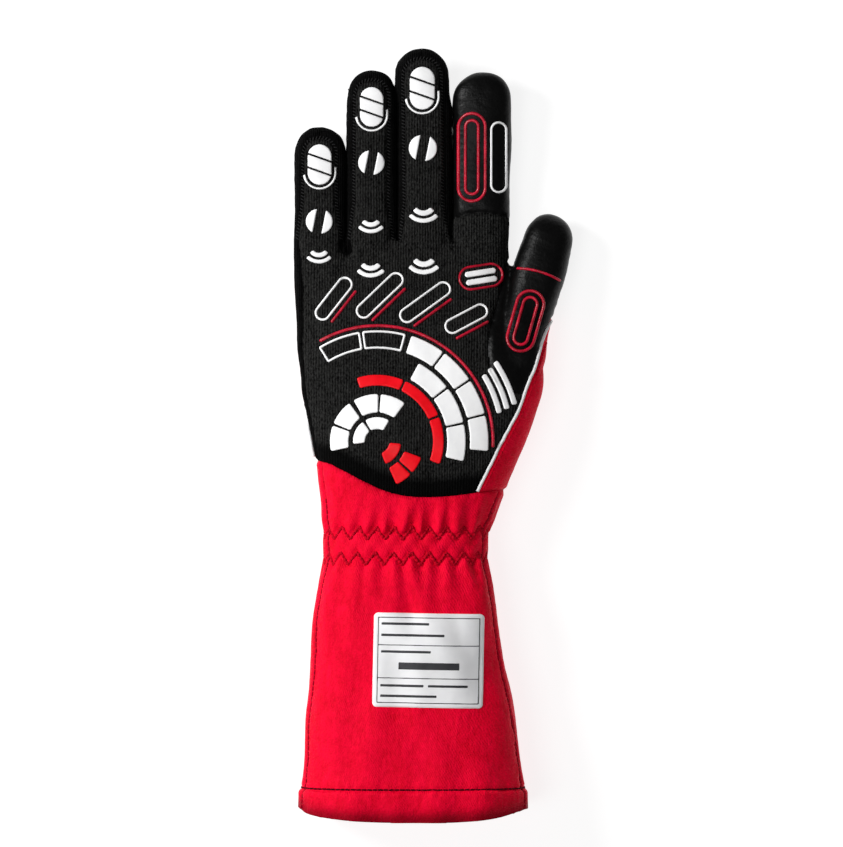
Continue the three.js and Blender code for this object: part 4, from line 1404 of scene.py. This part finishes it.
def trim_prints():
    """Small prints round the main ones."""
    crescents = Print("crescent_prints")
    for number, up, size in CRESCENTS:
        y = PALM_LENGTH + up
        centre = (finger_axis(FINGERS[number], y), y + 3.5 * size)
        for radius, width, half in CRESCENT_ARCS:
            shape = arc(radius * size, width * size, -90 - half, -90 + half, 0.7)
            crescents.add(shape, centre, 10.5 * size, PAD)
    accents = Print("fan_accent_prints", white=False)
    for (x, y), turn, length in fan_bars():
        aside = FAN_WIDTH / 2 + ACCENT["gap"]
        length *= ACCENT["share"]
        centre = (x + aside * math.cos(turn), y + aside * math.sin(turn))
        accents.add(bar(ACCENT["width"], length), centre, length / 2 + 2, BEAD, turn=turn)
    border = Print("sweep_border_print", white=False)
    radius = BORDER["radius"] * PALM_WIDTH
    for after, start, end in ((False, "from", "cut"), (True, "cut", "to")):
        start, end = BORDER[start], BORDER[end]
        reach = radius * math.sin(math.radians((end - start) / 2)) + 2
        border.add(border_part(after), on_sweep(radius, (start + end) / 2), reach, BEAD, about=SWEEP)
    root = Print("thumb_root_prints")
    for share, start, end in ROOT_STREAKS:
        radius = share * PALM_WIDTH
        middle = on_sweep(radius, (start + end) / 2)
        root.add(arc(radius, ROOT_WIDTH, start, end, CORNER), middle, 12, PAD, about=SWEEP)
    base, turn = INDEX_BASE["at"], INDEX_BASE["turn"]
    base_line = Print("index_base_line_print", white=False)
    base_line.add(bar(*BASE_LINE), base, 13, BEAD, turn=turn)
    base_bars = Print("index_base_bar_prints")
    for level in BASE_LEVELS:
        base_bars.add(bar(*BASE_BAR, up=level), base, 9, PAD, turn=turn)
    cross = Print("thumb_line_print", white=False)
    cross.add(thumb_bar, thumb_point(THUMB_BAR["at"])[:2], 13, BEAD, turn=-THUMB_TILT)
    hooks = Print("tip_line_prints")
    for finger in RIBBED_FINGERS:
        w = finger["width"]
        hooks.add(tip_hook(w), below_tip(finger, TIP_PAD["below"]), 0.5 * w, LINE)
    return [crescents, accents, border, root, base_line, base_bars, cross, hooks]


# Length, gap and radius of each thread's dashes, and its material
STITCHES = {
    "piping_stitches": (1.7, 0.4, 0.36, DARK_THREAD),
    "elastic_stitches": (1.75, 0.1, 0.7, DARK_THREAD),
    "hem_stitches": (2.3, 0.2, 0.36, HEM_THREAD),
    "cuff_seam_stitches": (2.0, 0.5, 0.4, SEAM_THREAD),
}
PIPING_RADIUS = 0.74
PIPING_INWARD = 0.3
PIPING_LIFT = 0.45
THREAD_BESIDE = 1.9
THREAD_LIFT = 0.3
HEEL_MARGIN = 0.2  # how far above the heel's seam the thumb's cord ends, and its thread
CUFF_MARGIN = 0.8  # how far below it the cuff's threads end
LITTLE_MARGIN = 1.4
LITTLE_LIFT = {"least": 0.6, "more": 1.2, "top": 72, "over": 30}
ZIGZAG_LIFT = {"top": 0.4, "drop": 0.64}


def ahead_of(path):
    """The direction of a path at each of its points."""
    return unit(np.gradient(path, axis=0))


def tube(path, radius, sides=12):
    """A closed tube along points."""
    ahead = ahead_of(path)
    side = unit(np.cross(ahead, np.array([0.0, 0.0, 1.0])))
    up = np.cross(side, ahead)
    turn = np.linspace(0, 2 * math.pi, sides, endpoint=False)
    points, faces = loft([
        p + radius * (np.outer(np.cos(turn), s) + np.outer(np.sin(turn), u))
        for p, s, u in zip(path, side, up)
    ])
    tris = []
    for face in faces:
        tris.append(face[:3])
        if len(face) == 4:
            tris.append((face[0], face[2], face[3]))
    return points, np.array(tris)


def even_path(points, pitch):
    at = np.concatenate([[0], np.cumsum(np.linalg.norm(np.diff(points, axis=0), axis=1))])
    want = np.linspace(0, at[-1], max(2, int(round(at[-1] / pitch)) + 1))
    return np.stack([np.interp(want, at, column) for column in points.T], 1)


def eased(path, rounds=3):
    for _ in range(rounds):
        path[1:-1] = (path[:-2] + 2 * path[1:-1] + path[2:]) / 4
    return path


def laid_line(tree, plan, lift, pitch=0.6):
    """A plan line laid on the cloth, lifted by so many millimetres."""
    hits = [drop(tree, x, y) for x, y in even_path(plan, pitch)]
    return eased(np.array([hit[0] + hit[1] * lift for hit in hits if hit]))


def stitch(start, end, radius, sides=6, blunt=0.55):
    """One dash of thread, with rounded ends."""
    path = np.array([start + (end - start) * t for t in (0.0, 0.12, 0.88, 1.0)])
    points, tris = tube(path, radius, sides)
    for i in (0, 3):
        rows = slice(i * sides, (i + 1) * sides)
        points[rows] = path[i] + (points[rows] - path[i]) * blunt
    return points, tris


def sew(name, paths, step=0.25):
    """One piece of stitches along paths in the red cloth."""
    length, gap, radius, material = STITCHES[name]
    solids = []
    for path in paths:
        fine = even_path(path, step)
        end = len(fine) - 1
        for k in range(int(end * step / (length + gap))):
            at = k * (length + gap)
            a, b = int(at / step), min(end, int((at + length) / step))
            solids.append(stitch(fine[a], fine[b], radius))
    put(name, *joined(solids), material, "red_cloth")


def make_piping(name, path):
    return put(name, *tube(path, PIPING_RADIUS), CORD, "white_piping")


def make_thumb_piping(tree):
    """The cord along the thumb's side, with the thread that holds it beside it."""
    def on_panel(path, over=0.0):
        """The part of a path above the side seam and above the heel."""
        path = path[path[:, 2] > middle_at(path[:, 1]) - THUMB_SEAM_DROP + over]
        return path[side_of(path, HEEL_LINE) > HEEL_MARGIN]

    plan = spline(PIPING_LINE, 10)
    ahead = ahead_of(plan)
    outward = np.stack([ahead[:, 1], -ahead[:, 0]], 1)
    cord = laid_line(tree, plan - PIPING_INWARD * outward, PIPING_LIFT)
    piece = make_piping("thumb_side_piping", on_panel(cord))
    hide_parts("piping_thumb_side")
    beside_cord = laid_line(tree, plan + THREAD_BESIDE * outward, THREAD_LIFT)
    sew("piping_stitches", [on_panel(beside_cord, over=4.0)])


def make_little_piping(tree, step=0.8, into_strip=0.3):
    """The cord down the little finger's side, along the back seam. It stands out more near
    the heel, where it shows from the palm's side."""
    path = []
    for y in np.arange(2.0, PALM_LENGTH * 0.95, step):
        hit = cast(tree, (-200.0, y, float(middle_at(y) + back_seam(y))), (1, 0, 0))
        if hit:
            share = min(1, max(0, (LITTLE_LIFT["top"] - y) / LITTLE_LIFT["over"]))
            path.append(hit[0] + hit[1] * (LITTLE_LIFT["least"] + LITTLE_LIFT["more"] * share))
    path = np.array(path)
    above_heel = side_of(path, HEEL_LINE) > LITTLE_MARGIN
    in_hand = above_heel & (side_of(path, KNUCKLE_LINE) < into_strip)
    piece = make_piping("little_side_piping", eased(path[in_hand]))
    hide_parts("piping_little_side")


def on_sleeve(tree, share, y, lift):
    """The cloth's point at a share of the way round the sleeve, lifted a little."""
    angle = float(np.interp(share % 1, SHARES, TURNS))
    way = Vector((-math.cos(angle), 0, -math.sin(angle)))
    start = Vector((float(sleeve_x([y])[0]), y, float(middle_at(y)))) - 150 * way
    hit, normal = cast(tree, start, way)
    return hit + normal * lift


def make_zigzags(tree, per_tooth=16):
    """The two rows of thread, which lie deeper in the cloth at the sleeve's sides."""
    paths = []
    for row in ELASTIC_ROWS:
        path = []
        for share in np.arange(per_tooth * TEETH + 1) / (per_tooth * TEETH):
            at_side = 1 - abs(math.sin(2 * math.pi * share))
            lift = ZIGZAG_LIFT["top"] - ZIGZAG_LIFT["drop"] * at_side
            path.append(on_sleeve(tree, share, float(zigzag(share, row)), lift))
        paths.append(np.array(path))
    sew("elastic_stitches", paths)


def make_hem_stitches(tree, count=500):
    path = np.array([on_sleeve(tree, k / count, HEM_Y, 0.2) for k in range(count + 1)])
    sew("hem_stitches", [path])


def make_cuff_seams(tree, step=0.8, lift=0.3):
    """A line of thread in the seam down each side of the cuff."""
    paths = []
    for side in (-1, 1):
        path = []
        for y in np.arange(HEM_Y - 12.0, 22.0, step):
            start = (side * 200.0, y, float(middle_at(y)) + CUFF_SEAM_RISE + 0.4)
            hit = cast(tree, start, (-side, 0, 0))
            if hit and hit[0][0] * side > 0:
                path.append(hit[0] + hit[1] * lift)
        path = np.array(path)
        paths.append(path[side_of(path, HEEL_LINE) < -CUFF_MARGIN])
    sew("cuff_seam_stitches", paths)


def finger_seam(finger, step=1.7):
    """The plan line of the seam round a finger's front, up its left side and down its right."""
    half = finger["thickness"] / 2
    wide = finger["width"] / 2
    shoulder = finger["shoulder"]

    def offset(size, rise=FRONT_SEAM_RISE):
        inner = 1 - (rise / (half * size)) ** FINGER_POWER
        return wide * size * max(0.0, inner) ** (1 / FINGER_POWER)

    side = [(offset(1.0, front_seam(y)), y) for y in np.arange(PALM_LENGTH + 2, shoulder, step)]
    for size, reach in tip_curve(14, math.acos((FRONT_SEAM_RISE / half) ** (TIP_POWER / 2))):
        side.append((offset(size), shoulder + finger["tip"] * reach))
    left = [(finger_axis(finger, y) - x, y) for x, y in side]
    right = [(finger_axis(finger, y) + x, y) for x, y in reversed(side)]
    return np.array(left + right)


def make_finger_stitches(tree, pitch=1.5, reach=0.75, slant=0.35):
    """Overcast stitches across the seams of the three ribbed fingers."""
    solids = []
    for finger in RIBBED_FINGERS:
        path = even_path(finger_seam(finger), pitch)
        ahead = ahead_of(path)
        across = np.stack([-ahead[:, 1], ahead[:, 0]], 1)
        for p, a, c in zip(path, ahead, across):
            ends = [drop(tree, *(p + side * (c * reach + a * slant))) for side in (1, -1)]
            if all(ends):
                solids.append(stitch(*(hit + normal * 0.12 for hit, normal in ends), 0.22))
    put("finger_stitches", *joined(solids), GREY_THREAD, "black_knit")


LABEL = {"width": 50.5, "height": 43.0, "corner": 2.0, "turn": -0.02, "centre": (10.5, -55.0)}
LABEL_LINE = {"width": 0.42, "inset": 1.9}
LABEL_RULES = (0.16, -0.19)
CARD = {"reach": (27, 23), "style": (0.45, 0.3, 0.8)}  # style: height, edge and pitch
INK = {"reach": (26, 22), "style": (0.05, 0.1, 0.36)}
# Plain bars: left, right, level and thickness
LABEL_BARS = [
    (0.07, 0.5, 0.385, 1.1), (0.07, 0.64, 0.265, 1.1), (0.07, 0.52, 0.09, 1.1),
    (0.23, 0.78, -0.06, 3.2), (0.07, 0.46, -0.27, 1.1), (0.5, 0.86, -0.27, 1.1),
    (0.07, 0.58, -0.38, 1.1),
]


def make_label(tree):
    wide, tall, centre = LABEL["width"], LABEL["height"], LABEL["centre"]

    def card(x, y):
        u, v = turned(x, y, centre, LABEL["turn"])
        return round_join(wide / 2 - np.abs(u), tall / 2 - np.abs(v), LABEL["corner"])

    def ink(x, y):
        u, v = turned(x, y, centre, LABEL["turn"])
        rules = either(*(LABEL_LINE["width"] / 2 - np.abs(v - tall * level) for level in LABEL_RULES))
        marks = [
            outline(card(x, y) - LABEL_LINE["inset"], LABEL_LINE["width"]),
            both(rules, wide / 2 - 2.0 - np.abs(u)),
        ]
        for left, right, level, thick in LABEL_BARS:
            start, end = wide * left - wide / 2, wide * right - wide / 2
            marks.append(both(u - start, end - u, thick / 2 - np.abs(v - tall * level)))
        return either(*marks)

    points, tris = print_solid(tree, card, box_round(centre, *CARD["reach"]), *CARD["style"])
    label = put("care_label", points, tris, LABEL_TAPE, "white_label")
    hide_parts("label")
    face = BVHTree.FromPolygons(points.tolist(), tris.tolist())
    points, tris = print_solid(face, ink, box_round(centre, *INK["reach"]), *INK["style"])
    marks = put("label_marks", points, tris, DARK_INK, "white_label")


FLOOR_GLOW = 0.84
WORLD_GLOW = 0.16
LIGHTS = [
    {"name": "key", "place": (-0.85, 0.35, 0.7), "target": (0, 0, 0.02), "size": 0.4, "power": 12},
    {"name": "fill", "place": (-0.7, -0.5, 1.9), "target": (0, 0, 0), "size": 0.9, "power": 11},
]


def make_stage(reach=3.0):
    floor_mesh = bpy.data.meshes.new("floor")
    corners = [(-reach, -reach, 0), (reach, -reach, 0), (reach, reach, 0), (-reach, reach, 0)]
    floor_mesh.from_pydata(corners, [], [(0, 1, 2, 3)])
    shader = Shader("pale_floor", 0.9, specular=0.0)
    shader.color(rgb(150, 150, 150))
    shader.inputs["Emission Color"].default_value = (1, 1, 1, 1)
    shader.inputs["Emission Strength"].default_value = FLOOR_GLOW
    floor_mesh.materials.append(shader.material)
    floor = placed("floor", floor_mesh)


def make_light(name, place, target, size, power):
    light = bpy.data.lights.new(name, "AREA")
    light.shape = "DISK"
    light.size = size
    light.energy = power
    lamp = placed(name, light)
    lamp.location = place
    lamp.rotation_euler = (Vector(target) - Vector(place)).to_track_quat("-Z", "Y").to_euler()


def make_lights():
    for light in LIGHTS:
        make_light(**light)
    world = bpy.data.worlds.new("studio")
    world.use_nodes = True
    world.node_tree.nodes["Background"].inputs[0].default_value = (1, 1, 1, 1)
    world.node_tree.nodes["Background"].inputs[1].default_value = WORLD_GLOW
    bpy.context.scene.world = world
    bpy.context.scene.view_settings.view_transform = "Standard"


CAMERA_HEIGHT = 3.0
CAMERA_OVER = (-0.0053, 0.0049)
SHARP_HEIGHT = 0.02  # height above the floor at which the frame has the size below
FRAME_TALL = 0.3896  # metres seen along the photo's longer side
SENSOR = 36.0


def make_camera():
    camera = bpy.data.cameras.new("camera")
    camera.sensor_width = SENSOR
    camera.sensor_fit = "AUTO"
    camera.lens = SENSOR * (CAMERA_HEIGHT - SHARP_HEIGHT) / FRAME_TALL
    camera.clip_end = 20
    eye = placed("camera", camera)
    eye.location = (*CAMERA_OVER, CAMERA_HEIGHT)
    bpy.context.scene.camera = eye


make_camera()
make_lights()
make_stage()
TREE, CLOTHS = make_cloth()
for item in [*finger_prints(), *fan_prints(), *arc_prints(), *frame_prints(), *trim_prints()]:
    item.lay(TREE)
make_thumb_piping(TREE)
make_little_piping(TREE)
make_zigzags(TREE)
make_hem_stitches(TREE)
make_cuff_seams(TREE)
make_finger_stitches(TREE)
make_label(TREE)
